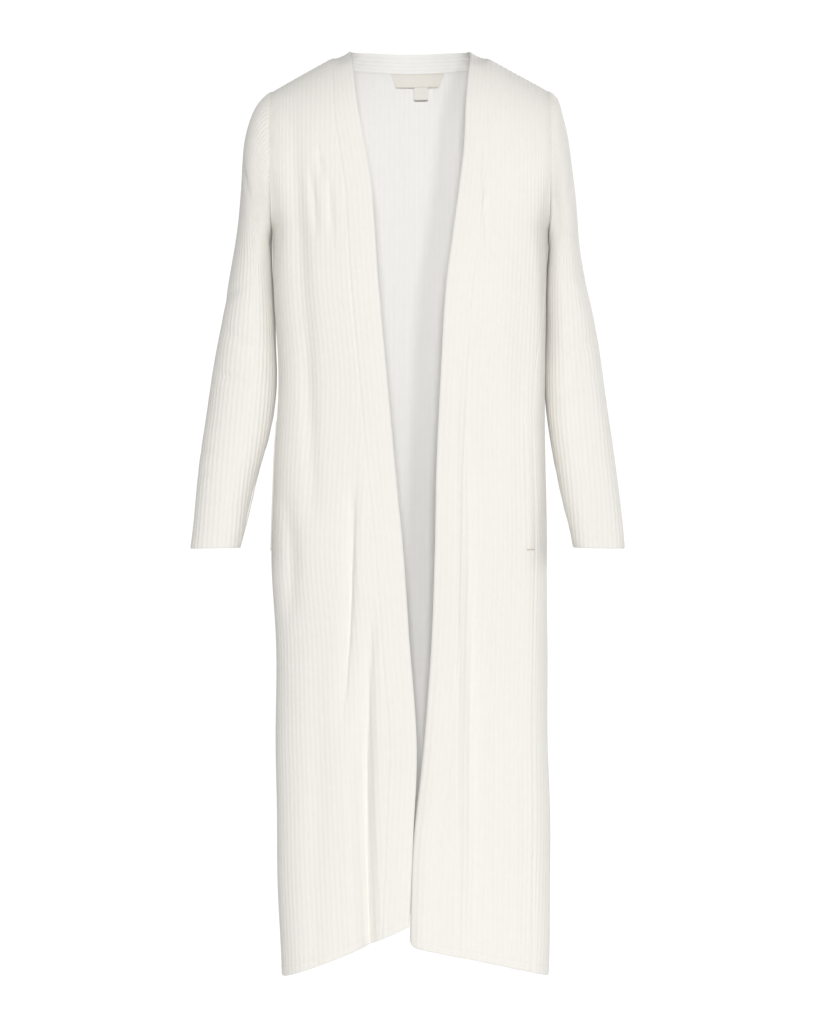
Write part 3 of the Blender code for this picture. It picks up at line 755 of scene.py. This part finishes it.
def knit_material(name, colour, furrow_shade):
    """Ribbed knit: stitches, fuzz, small random changes of colour, and painted shade in the rib
    furrows and the gaps between stitches, on the knit's own coordinates.
    """
    made, tree, shader = new_material(name, colour)
    knit, reverse = tree.nodes.new("ShaderNodeAttribute"), tree.nodes.new("ShaderNodeAttribute")
    knit.attribute_name, reverse.attribute_name = "knit", "reverse"
    ribs, along, ridge = wire(tree, "SeparateXYZ", {0: knit.outputs["Vector"]}).outputs
    where = tree.nodes.new("ShaderNodeTexCoord").outputs["Object"]

    def calc(operation, *values):
        node = tree.nodes.new("ShaderNodeMath")
        node.operation = operation
        return wire(tree, node, enumerate(values)).outputs[0]

    def noise(size, detail, rough=0.5):
        inputs = {"Scale": size, "Detail": detail, "Roughness": rough, "Vector": where}
        return wire(tree, "TexNoise", inputs).outputs["Fac"]

    # Each stitch is a V of two legs
    wale = calc("FRACT", calc("MULTIPLY", ribs, STITCHES_A_RIB))
    aside = calc("MULTIPLY", calc("ABSOLUTE", calc("SUBTRACT", wale, 0.5)), 2.0)
    slant = calc("MULTIPLY", aside, STITCH_SLANT)
    course = calc("ADD", calc("MULTIPLY", along, 1 / COURSE), slant)
    leg = calc("ABSOLUTE", calc("SINE", calc("MULTIPLY", course, math.pi)))
    between = calc("SINE", calc("MULTIPLY", aside, math.pi))
    stitch = calc("MULTIPLY", leg, calc("ADD", 0.35, calc("MULTIPLY", between, 0.65)))
    fuzz = noise(1400.0, 3.0, 0.7)
    height = calc("ADD", calc("MULTIPLY", stitch, 0.8), calc("MULTIPLY", fuzz, 0.35))
    bump = wire(tree, "Bump", {"Strength": 0.55, "Distance": 0.0004, "Height": height})

    # Painted shade: the colour is darker in the rib furrows and in the gaps between stitch legs
    shade = calc("SUBTRACT", 1.0, calc("MULTIPLY", calc("SUBTRACT", 1.0, ridge), furrow_shade))
    gap_shade = calc("MULTIPLY", calc("SUBTRACT", 1.0, stitch), STITCH_SHADE)
    shade = calc("SUBTRACT", shade, gap_shade)
    for size, detail in ((5.0, 2.0), (90.0, 3.0)):
        uneven = calc("SUBTRACT", noise(size, detail), 0.5)
        shade = calc("ADD", shade, calc("MULTIPLY", uneven, MOTTLE))
    # Painted light: the inner skin, marked by the reverse attribute, takes the lighter cream of
    # the lit inside
    sides = tree.nodes.new("ShaderNodeMix")
    sides.data_type = "RGBA"
    wire(tree, sides, {
        "A": (*colour, 1), "B": (*CREAM_REVERSE_PAINTED_LIGHT, 1), "Factor": reverse.outputs["Fac"],
    })
    tint = tree.nodes.new("ShaderNodeVectorMath")
    tint.operation = "SCALE"
    wire(tree, tint, {0: sides.outputs["Result"], "Scale": shade})
    wire(tree, shader, {
        "Base Color": tint.outputs["Vector"],
        "Roughness": calc("ADD", 0.82, calc("MULTIPLY", fuzz, 0.14)),
        "Normal": bump.outputs[0],
        "Specular IOR Level": 0.25,
        "Sheen Weight": 0.25,
        "Sheen Roughness": 0.5,
    })
    return made


def tape_material(name, colour, threads):
    """Woven tape: fine crossing threads, with painted shade where the threads dip."""
    made, tree, shader = new_material(name, colour)
    where = tree.nodes.new("ShaderNodeTexCoord").outputs["Object"]
    yarn = {"Scale": threads, "Distortion": 0.6, "Detail": 1.0, "Detail Scale": 3.0}
    yarn["Vector"] = where
    waves = []
    for direction in ("X", "Z"):
        wave = tree.nodes.new("ShaderNodeTexWave")
        wave.bands_direction = direction
        waves.append(wire(tree, wave, yarn).outputs["Fac"])
    crossing = tree.nodes.new("ShaderNodeMath")
    crossing.operation = "MULTIPLY"
    weave = wire(tree, crossing, enumerate(waves)).outputs[0]
    bump = wire(tree, "Bump", {"Strength": 0.4, "Distance": 0.0002, "Height": weave})
    # Painted shade: darker where the weave is low
    ramp = wire(tree, "ValToRGB", {"Fac": weave})
    ramp.color_ramp.elements[0].color = (*[TAPE_FURROW_SHADE * c for c in colour], 1)
    ramp.color_ramp.elements[1].color = (*colour, 1)
    wire(tree, shader, {
        "Base Color": ramp.outputs[0],
        "Roughness": 0.7,
        "Normal": bump.outputs[0],
        "Specular IOR Level": 0.3,
    })
    return made


def put(name, data):
    made = bpy.data.objects.new(name, data)
    bpy.context.scene.collection.objects.link(made)
    return made


def add_object(name, vertices, faces, made_of, knit=None, reverse=None):
    mesh = bpy.data.meshes.new(name)
    mesh.from_pydata([tuple(map(float, point)) for point in vertices], [], faces)
    mesh.materials.append(made_of)
    if knit is not None:
        marks = mesh.attributes.new("knit", "FLOAT_VECTOR", "POINT")
        marks.data.foreach_set("vector", np.asarray(knit, np.float32).ravel())
        inside = mesh.attributes.new("reverse", "FLOAT", "POINT")
        inside.data.foreach_set("value", np.asarray(reverse, np.float32))
    mesh.shade_smooth()
    return put(name, mesh)


def wall(name, outer, inner, made_of):
    """A cloth wall between rows of outer and inner points, each row (places, points, knit)."""
    vertices, knit, reverse, rings = [], [], [], []
    for number, (places, points, marks) in enumerate([*outer, *inner[::-1]]):
        first = len(vertices)
        vertices.extend(points)
        knit.extend(marks)
        reverse.extend([float(number >= len(outer))] * len(points))
        rings.append([(place, first + i) for i, place in enumerate(places)])
    faces = []
    for ring, following in zip(rings, rings[1:] + rings[:1]):
        faces += zipped(ring, following)
    for end, turned in ((0, True), (-1, False)):
        faces += side_rim(rings, end, turned)
    if signed_volume(vertices, faces) < 0:
        faces = [face[::-1] for face in faces]
    made = add_object(name, vertices, faces, made_of, knit, reverse)
    made.data.set_sharp_from_angle(angle=math.radians(SHARP_DEGREES))
    return made


def knit_marks(ribs, along, wave):
    """The knit's coordinates: ribs across, distance along, and furrow or ridge."""
    return np.stack([ribs, np.full(len(ribs), along), wave], axis=-1)


def knit_row(skin, arcs, points, normals, rib, to_seam, rim, along):
    """One row of a skin (0 is the outer): its places, points and knit coordinates."""
    wave = rib_wave(arcs) * np.clip(to_seam / RIB_FADE, 0, 1)
    pair = skins(points, normals, rib, wave, to_seam, rim)
    return arcs, pair[skin], knit_marks(arcs / RIB_PITCH, along, wave)


def travelled(rows):
    """How far each row lies along the cloth from the first."""
    return lengths_along(np.array([row.mean(axis=0) for row in rows]))


def body_wall(name, panel, made_of):
    """The back or a front, from its fine rows."""
    levels = []
    for place in PLACES:
        levels.append(cloth(panel, place, np.linspace(*panel_ends(panel, place), 9))[0])
    reach = travelled(levels)
    outer, inner = [], []
    for number, place in enumerate(PLACES):
        start, end = panel_ends(panel, place)
        at_neck = panel == "back" and place == 0
        if panel != "back":
            end = band_start(panel, place)
        rim = row_rim(number, len(PLACES))
        for skin, step, rows in ((0, OUTER_STEP, outer), (1, INNER_STEP, inner)):
            arcs = columns_between(start, end, step, neck_knots()[0] if at_neck else ())
            points, normals = neckline_row(arcs) if at_neck else cloth(panel, place, arcs)
            normals = square_to(points, normals)
            to_seam = np.minimum(arcs - start, end - arcs)
            if place < 1:
                to_seam = np.minimum(to_seam, body_row(place)["drop"])
            shape = (points, normals, BODY_RIB, to_seam, rim)
            rows.append(knit_row(skin, arcs, *shape, reach[number]))
    return wall(name, outer, inner, made_of)


def front_band_grid(panel, places):
    rows = []
    for place in places:
        start, edge = band_start(panel, place), panel_ends(panel, place)[1]
        rows.append(cloth(panel, place, start + (edge - start) * BAND_SHARES)[0])
    return rows


def neck_band_grid():
    seams = neck_knots()[1][1:-1]
    half = [(x, y, z) for _, _, x, y, z in NECK]
    edges = np.array([(-x, y, z) for x, y, z in half] + half[-2::-1])
    return [seam + (edge - seam) * BAND_SHARES[:, None] for seam, edge in zip(seams, edges)]


def band_grid():
    """The strip's smooth form, with its corners between front and neck rounded."""
    right = front_band_grid("front_right", PLACES[::-1])
    neck = neck_band_grid()
    grid = np.array(right + neck + front_band_grid("front_left", PLACES))
    pull = np.clip(SMOOTH_PULL * BAND_SHARES, 0, 1)[:, None]
    for _ in range(SMOOTH_ROUNDS):
        for joint in (len(right), len(right) + len(neck)):
            low, high = joint - SMOOTH_ROWS, joint + SMOOTH_ROWS
            around = (grid[low - 1:high - 1] + grid[low + 1:high + 1]) / 2
            grid[low:high] += (around - grid[low:high]) / 2 * pull
    return grid


def band_wall(name, made_of):
    """The long strip: up the right front, round the neck, down the left front."""
    grid = band_grid()
    normals = unit(np.cross(np.gradient(grid, axis=1), np.gradient(grid, axis=0)))
    if normals[len(grid) // 2, :, 1].mean() < 0:
        normals = -normals
    reach = travelled(grid)
    width = np.linalg.norm(np.diff(grid, axis=1), axis=2).sum(axis=1)
    count = len(grid)
    outer, inner = [], []
    for number, row in enumerate(grid):
        end_rim = max(row_rim(number, count), row_rim(count - 1 - number, count))
        for skin, columns, rows in ((0, 6 * BAND_RIBS, outer), (1, 4 * BAND_RIBS, inner)):
            own = np.linspace(0, 1, columns + 1)
            if skin == 0:
                own = np.sort(np.append(own, [BAND_LAST_COLUMN]))
            wave = (np.sin(math.pi * BAND_RIBS * own) ** 2) ** RIB_SHARPNESS
            rim = np.maximum(end_rim, np.clip((own - BAND_EDGE) / (1 - BAND_EDGE), 0, 1))
            points = points_at(own, BAND_SHARES, row)
            directions = unit(points_at(own, BAND_SHARES, normals[number]))
            pair = skins(points, directions, BODY_RIB, wave, own * width[number], rim)
            rows.append((own, pair[skin], knit_marks(own * BAND_RIBS, reach[number], wave)))
    return wall(name, outer, inner, made_of)


def armhole(side):
    """The armhole's edge from the shoulder by the front to the underarm and up the back."""
    front = "front_left" if side > 0 else "front_right"
    points, normals = [], []
    for name, end in ((front, 0), ("back", 1 if side > 0 else 0)):
        rows = []
        for place in map(float, ARM_PLACES):
            rows.append(cloth(name, place, [panel_ends(name, place)[end]]))
        points.append(np.concatenate([row[0] for row in rows]))
        normals.append(np.concatenate([row[1] for row in rows]))
    fore, aft = points
    tips = (fore[:1] + aft[:1]) / 2, (fore[-1:] + aft[-1:]) / 2
    loop = np.concatenate([tips[0], fore[1:-1], tips[1], aft[-2:0:-1]])
    return loop, np.concatenate([normals[0], normals[1][-2:0:-1]])


def sleeve_start(side):
    """The sleeve's first ring, on the armhole's edge, and its outward directions."""
    loop, out = armhole(side)
    radial = loop - loop.mean(axis=0)
    radial[:, 0] = 0
    radial = unit(radial)
    places = np.concatenate([ARM_PLACES, ARM_PLACES[-2:0:-1]])
    turn = np.interp(places, TURN_PLACES, TURN_VALUES)[:, None]
    clear = SLEEVE_CLEAR * (turn - TURN_VALUES[0]) / (1 - TURN_VALUES[0])
    return loop + clear * np.array([side, 0, 0]), unit(out * (1 - turn) + radial * turn)


def even_loop(loop, values):
    """Values round a loop at RING_POINTS even steps of its front half and of its back half."""
    reach = lengths_along(np.vstack([loop, loop[:1]]))
    knots = [0, reach[len(loop) // 2], reach[-1]]
    wanted = np.interp(np.arange(RING_POINTS) / RING_POINTS, [0, 0.5, 1], knots)
    return points_at(wanted, reach, np.vstack([values, values[:1]]))


def ring_points(row, side):
    """One ring of a sleeve, at even steps of its front half and of its back half."""
    name = "_left" if side > 0 else "_right"
    outer = np.array([side * row["outer" + name], row["back"], row["outer_z"]])
    inner = np.array([side * row["inner" + name], row["back"], row["inner_z"]])
    angle = np.linspace(0, 2 * math.pi, 2 * SAMPLES + 1)
    along = np.sign(np.cos(angle)) * np.abs(np.cos(angle)) ** (2 / SLEEVE_ROUND)
    across = np.sign(np.sin(angle)) * np.abs(np.sin(angle)) ** (2 / SLEEVE_ROUND)
    dense = (outer + inner) / 2 + along[:, None] * (outer - inner) / 2
    dense[:, 1] -= across * row["half_depth"]
    reach = lengths_along(dense)
    shares = np.arange(RING_POINTS) / RING_POINTS
    wanted = np.interp(shares, [0, 0.5, 1], [0, reach[SAMPLES], reach[-1]])
    return points_at(wanted, reach, dense)


def sleeve_grid(side):
    """A sleeve's smooth form: rows of points and directions, and how far down each row is."""
    loop, out = sleeve_start(side)
    rows = [dict(zip(SLEEVE_COLUMNS, values)) for values in SLEEVE]
    rings = np.array([even_loop(loop, loop)] + [ring_points(row, side) for row in rows])
    dense = np.linspace(0, len(rings) - 1, 401)
    reach = lengths_along(smooth_rows(rings[:, 0], dense))
    downs = np.concatenate([
        SLEEVE_TOP_ROWS,
        np.arange(SLEEVE_STEP, reach[-1] - SLEEVE_STEP / 2, SLEEVE_STEP),
        reach[-1] - END_STEPS,
    ])
    places = np.interp(downs, reach, dense)
    grid = smooth_rows(rings.reshape(len(rings), -1), places).reshape(len(places), RING_POINTS, 3)
    round_ = np.roll(grid, -1, axis=1) - np.roll(grid, 1, axis=1)
    normals = unit(np.cross(round_, np.gradient(grid, axis=0)))
    if ((grid - grid.mean(axis=1, keepdims=True)) * normals).sum() < 0:
        normals = -normals
    start_out = unit(even_loop(loop, out))
    for number in range(SLEEVE_TURN_ROWS):
        share = number / SLEEVE_TURN_ROWS
        normals[number] = unit(start_out * (1 - share) + normals[number] * share)
    half = RING_POINTS // 2
    order = np.concatenate([np.arange(half, RING_POINTS), np.arange(0, half + 1)])
    return grid[:, order], normals[:, order], downs


def crease_depth(side, arc, z, fade):
    """How far a sleeve's creases and slow waves push its cloth in."""
    depth = np.zeros(len(arc))
    for values in CREASE_ROWS[side]:
        crease = dict(zip(CREASE_COLUMNS, values))
        aside = arc - crease["round"] * MM
        level = (z - crease["z"] * MM + crease["slant"] * aside) / (crease["width"] * MM / 2)
        aside = aside / (crease["length"] * MM / 2)
        depth += crease["depth"] * MM * np.exp(-(aside**2) / 2 - level**2 / 2)
    waves = np.sin(24 * z + 40 * arc + side) + np.sin(43 * z - 21 * arc + 2 * side)
    return depth + fade * SLEEVE_RIPPLE * waves


def sleeve_wall(name, side, made_of):
    """A sleeve as it is cut: a panel whose ribs keep their pitch and end at the underarm seam."""
    grid, normals, downs = sleeve_grid(side)
    outer, inner = [], []
    for number, (row, out, down) in enumerate(zip(grid, normals, downs)):
        arc = lengths_along(row)
        arc -= arc[RING_POINTS // 2]
        fade = np.clip(down / SLEEVE_RIPPLE_FADE, 0, 1)
        row = row - out * crease_depth(side, arc, row[:, 2], fade)[:, None]
        rim = row_rim(number, len(grid))
        for skin, step, rows in ((0, OUTER_STEP, outer), (1, INNER_STEP, inner)):
            arcs = columns_between(arc[0], arc[-1], step)
            to_seam = np.minimum(np.minimum(arcs - arc[0], arc[-1] - arcs), down)
            points, directions = points_at(arcs, arc, row), unit(points_at(arcs, arc, out))
            shape = (points, directions, SLEEVE_RIB, to_seam, rim)
            rows.append(knit_row(skin, arcs, *shape, down))
    return wall(name, outer, inner, made_of)


def stitches(name, ends, radius, made_of):
    """Short threads, each a spindle between its two ends."""
    vertices, faces = [], []
    for start, end in ends:
        along = unit(end - start)
        side = unit(np.cross(along, SPINDLE_SIDE))
        up = np.cross(along, side)
        first = len(vertices)
        for share, wide in SPINDLE:
            for corner in range(SPINDLE_SIDES):
                turn = 2 * math.pi * corner / SPINDLE_SIDES
                around = math.cos(turn) * side + math.sin(turn) * up
                vertices.append(start + (end - start) * share + radius * wide * around)
        rings = []
        for ring in range(len(SPINDLE)):
            begin = first + SPINDLE_SIDES * ring
            rings.append(list(range(begin, begin + SPINDLE_SIDES)))
        for ring, following in zip(rings, rings[1:]):
            pairs = list(zip(ring, following))
            for (a, d), (b, c) in zip(pairs, pairs[1:] + pairs[:1]):
                faces.append((a, b, c, d))
        faces.append(tuple(rings[0][::-1]))
        faces.append(tuple(rings[-1]))
    return add_object(name, vertices, faces, made_of)


def hem_ends(panel):
    """Stitches along the hem, a little above it, on the tops of the ribs."""
    rows_apart = BODY[-1, 0] - BODY[-2, 0]
    place = float(np.interp(HEM_ABOVE, [0, rows_apart], [len(BODY) - 1, len(BODY) - 2]))
    start, end = panel_ends(panel, place)
    starts = np.arange(start + HEM_MARGIN, end - HEM_MARGIN, HEM_STEP)
    rows = []
    for arcs in (starts, starts + HEM_STITCH):
        points, normals = cloth(panel, place, arcs)
        rows.append(points + normals * BODY_RIB * rib_wave(arcs)[:, None])
    return list(zip(*rows))


def pocket_welt(name, front, made_of):
    """The strip along a pocket's mouth, with a rounded top."""
    shares = np.linspace(0, 1, WELT_COLUMNS)
    round_top = np.sqrt(np.clip(1 - (2 * shares - 1) ** 4, 0, 1))
    across = POCKET_INSET[front] + shares * POCKET_WIDTH
    outer, inner = [], []
    places = np.linspace(place_at(POCKET_TOP), place_at(POCKET_BOTTOM), WELT_ROWS)
    for number, place in enumerate(map(float, places)):
        points, normals = cloth(front, place, panel_ends(front, place)[0] + across)
        knots = 0.5 - 0.5 * math.cos(2 * math.pi * number / 2.5)
        lift = WELT_LIFT + (WELT_HEIGHT + WELT_STITCH * knots) * round_top
        marks = knit_marks(shares * 2, number * 0.003, round_top)
        outer.append((shares, points + normals * lift[:, None], marks))
        inner.append((shares, points + normals * WELT_LIFT * 0.5, marks))
    return wall(name, outer, inner, made_of)


def tack_ends(front):
    """Dense short stitches that hold a pocket's lower end; their dark thread is partly painted
    shade, for the shadow under the welt's end.
    """
    inset = POCKET_INSET[front]
    place = place_at(POCKET_BOTTOM + TACK_MARGIN)
    across = np.linspace(inset - TACK_MARGIN, inset + POCKET_WIDTH + TACK_MARGIN, 6)
    points, normals = cloth(front, place, panel_ends(front, place)[0] + across)
    points = points + normals * (WELT_LIFT + WELT_HEIGHT + TACK_LIFT)
    found = []
    for level in TACK_LEVELS:
        row = points + np.array([0, 0, level])
        found += list(zip(row[:-1], row[1:]))
    return found


def inside_back(x, z):
    """The back's inner face at these places."""
    place = float(np.interp(z, INSIDE_Z, INSIDE_PLACES))
    angles, arcs = wale_places("back", place)
    xs = body_points("back", angles, place)[:, 0]
    points, _ = cloth("back", place, np.interp(x, xs, arcs))
    points[:, 1] -= WALL + INNER_RIB
    points[:, 2] = z
    return points


def thin_sheet(name, grid, thickness, made_of):
    rows, columns = grid.shape[:2]
    corners = [i * columns + j for i in range(rows - 1) for j in range(columns - 1)]
    faces = [(c, c + 1, c + columns + 1, c + columns) for c in corners]
    made = add_object(name, grid.reshape(-1, 3), faces, made_of)
    thicken = made.modifiers.new("Thickness", "SOLIDIFY")
    thicken.thickness = thickness
    thicken.offset = 0.0
    round_off = made.modifiers.new("Edge", "BEVEL")
    round_off.width = thickness * 0.3
    round_off.segments = 2
    return made


def label_off(across, down):
    """How far the label stands off the back: at its lower edge, more so in the middle."""
    arch = np.sin(math.pi * np.clip(across, 0, 1)) ** 0.6
    return LABEL_OFF + LABEL_BULGE * down * arch


def main_label(name, made_of):
    """The woven label: held at its ends, its lower edge standing a little off the back."""
    across = np.linspace(0, 1, 33)
    grid = []
    for down in np.linspace(0, 1, 9):
        left = LABEL_TOP[0] + (LABEL_BOTTOM[0] - LABEL_TOP[0]) * down
        right = LABEL_TOP[1] + (LABEL_BOTTOM[1] - LABEL_TOP[1]) * down
        z = LABEL_Z[0] + (LABEL_Z[1] - LABEL_Z[0]) * down
        row = inside_back(left + (right - left) * across, z)
        row[:, 1] -= label_off(across, down)
        grid.append(row)
    return thin_sheet(name, np.array(grid), LABEL_WALL, made_of)


def label_ends():
    """Small dark stitches along the label's top and bottom; their dark thread is partly painted
    shade, for the shadow along the label's edges.
    """
    found = []
    for down, z, (left, right) in (
        (0, LABEL_Z[0] - LABEL_MARGIN, LABEL_TOP),
        (1, LABEL_Z[1] + LABEL_MARGIN, LABEL_BOTTOM),
    ):
        starts = np.arange(left + LABEL_MARGIN, right - 0.0027, LABEL_STEP)
        x = np.concatenate([starts, starts + LABEL_STITCH])
        row = inside_back(x, z)
        row[:, 1] -= label_off((x - left) / (right - left), down) + LABEL_WALL / 2
        found += list(zip(row[:len(starts)], row[len(starts):]))
    return found


def size_tab(name, made_of):
    """The size tab: a tape folded into a loop that hangs below the label."""
    profile = []
    for turn in np.linspace(0, 1, 17):
        if TAB_TURN <= turn <= 1 - TAB_TURN:
            angle = math.pi * (turn - TAB_TURN) / (1 - 2 * TAB_TURN)
            depth, z = -TAB_FOLD * math.cos(angle), TAB_Z[1] - TAB_FOLD * math.sin(angle)
        else:
            depth = TAB_FOLD if turn > 0.5 else -TAB_FOLD
            z = TAB_Z[0] + (TAB_Z[1] - TAB_Z[0]) * min(turn, 1 - turn) / TAB_TURN
        profile.append((depth, z))
    x = np.linspace(*TAB_X, 9)
    grid = []
    for depth, z in profile:
        row = inside_back(x, TAB_Z[0])
        row[:, 1] -= TAB_OFF + depth
        row[:, 2] = z
        grid.append(row)
    return thin_sheet(name, np.array(grid), TAB_WALL, made_of)


def dress(piece, node, others):
    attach(piece, "root")
    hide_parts(node)
    for other in others:
        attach(other, "root")


knits = {}
for node in ("back", "front_left", "front_right", "front_band", "sleeve_left", "sleeve_right",
             "pocket_welt_left", "pocket_welt_right"):
    # Painted shade in the rib furrows, stronger on the sleeves
    painted_furrow_shade = SLEEVE_FURROW_SHADE if node.startswith("sleeve") else BODY_FURROW_SHADE
    knits[node] = knit_material(node + "_knit", CREAM, painted_furrow_shade)
thread = tape_material("thread", THREAD, 900.0)
# Dark thread, partly painted shade: it also draws the edge shadows at the pocket welts and the
# label
dark_thread_and_edge_shade = tape_material("dark_thread_and_edge_shade", DARK_THREAD_AND_EDGE_SHADE, 900.0)

# Every piece and its sewing, by the solid's node
pieces = {}
for node in ("back", "front_left", "front_right"):
    pieces[node] = body_wall(node + "_cloth", node, knits[node])
pieces["front_band"] = band_wall("front_band_cloth", knits["front_band"])
for node, side in (("sleeve_left", 1), ("sleeve_right", -1)):
    pieces[node] = sleeve_wall(node + "_cloth", side, knits[node])
for side in ("left", "right"):
    node = "pocket_welt_" + side
    pieces[node] = pocket_welt(node + "_cloth", "front_" + side, knits[node])
pieces["main_label"] = main_label("main_label_tape", tape_material("label_tape", TAPE, 700.0))
pieces["size_tab"] = size_tab("size_tab_tape", tape_material("tab_tape", TAB_TAPE, 700.0))

sewing = {node: [] for node in pieces}
for side in ("left", "right"):
    tacks = stitches("pocket_tacks_" + side, tack_ends("front_" + side), TACK_THICK, dark_thread_and_edge_shade)
    sewing["pocket_welt_" + side].append(tacks)
for node in ("back", "front_left", "front_right"):
    sewing[node].append(stitches("hem_stitches_" + node, hem_ends(node), HEM_THREAD, thread))
held = stitches("label_stitches", label_ends(), LABEL_THREAD, dark_thread_and_edge_shade)
sewing["main_label"].append(held)
for node, piece in pieces.items():
    dress(piece, node, sewing[node])

turns = [2 * math.pi * i / FLOOR_SIDES for i in range(FLOOR_SIDES)]
rim_points = [(FLOOR_RADIUS * math.cos(a), FLOOR_RADIUS * math.sin(a), FLOOR_Z) for a in turns]
floor_mesh = bpy.data.meshes.new("floor")
floor_mesh.from_pydata(rim_points, [], [tuple(range(FLOOR_SIDES))])
floor = put("floor", floor_mesh)
pale = bpy.data.materials.new("pale_floor")
pale.use_nodes = True
wire(pale.node_tree, pale.node_tree.nodes["Principled BSDF"], {
    "Base Color": (0.9, 0.9, 0.9, 1),
    "Roughness": 0.8,
})
floor_mesh.materials.append(pale)

for lamp_name, lamp_place, lamp_size, lamp_power in LAMPS:
    lamp = bpy.data.lights.new(lamp_name, "AREA")
    lamp.shape = "DISK"
    lamp.size = lamp_size
    lamp.energy = lamp_power
    direction = LAMP_AIM - np.array(lamp_place)
    across = math.atan2(direction[0], -direction[1])
    down = math.atan2(-direction[2], math.hypot(direction[0], direction[1]))
    hung = put(lamp_name, lamp)
    hung.location = lamp_place
    hung.rotation_euler = (math.pi / 2 - down, 0, across + math.pi)

# The studio looks white to the camera and gives the cloth a weaker, even light
world = bpy.data.worlds.new("studio")
world.use_nodes = True
sky = world.node_tree
seen = sky.nodes.new("ShaderNodeLightPath").outputs["Is Camera Ray"]
strength = sky.nodes.new("ShaderNodeMapRange")
wire(sky, strength, {"To Min": STUDIO_LIGHT, "To Max": STUDIO_SEEN, "Value": seen})
wire(sky, sky.nodes["Background"], {
    "Color": (1, 1, 1, 1),
    "Strength": strength.outputs["Result"],
})
bpy.context.scene.world = world
bpy.context.scene.view_settings.view_transform = "Standard"

lens = bpy.data.cameras.new("camera")
lens.sensor_fit = "VERTICAL"
lens.sensor_height = SENSOR
lens.lens = SENSOR * -CAMERA_PLACE[1] / FRAME_HEIGHT
camera = put("camera", lens)
camera.location = CAMERA_PLACE
camera.rotation_euler = (math.pi / 2, 0, 0)
bpy.context.scene.camera = camera
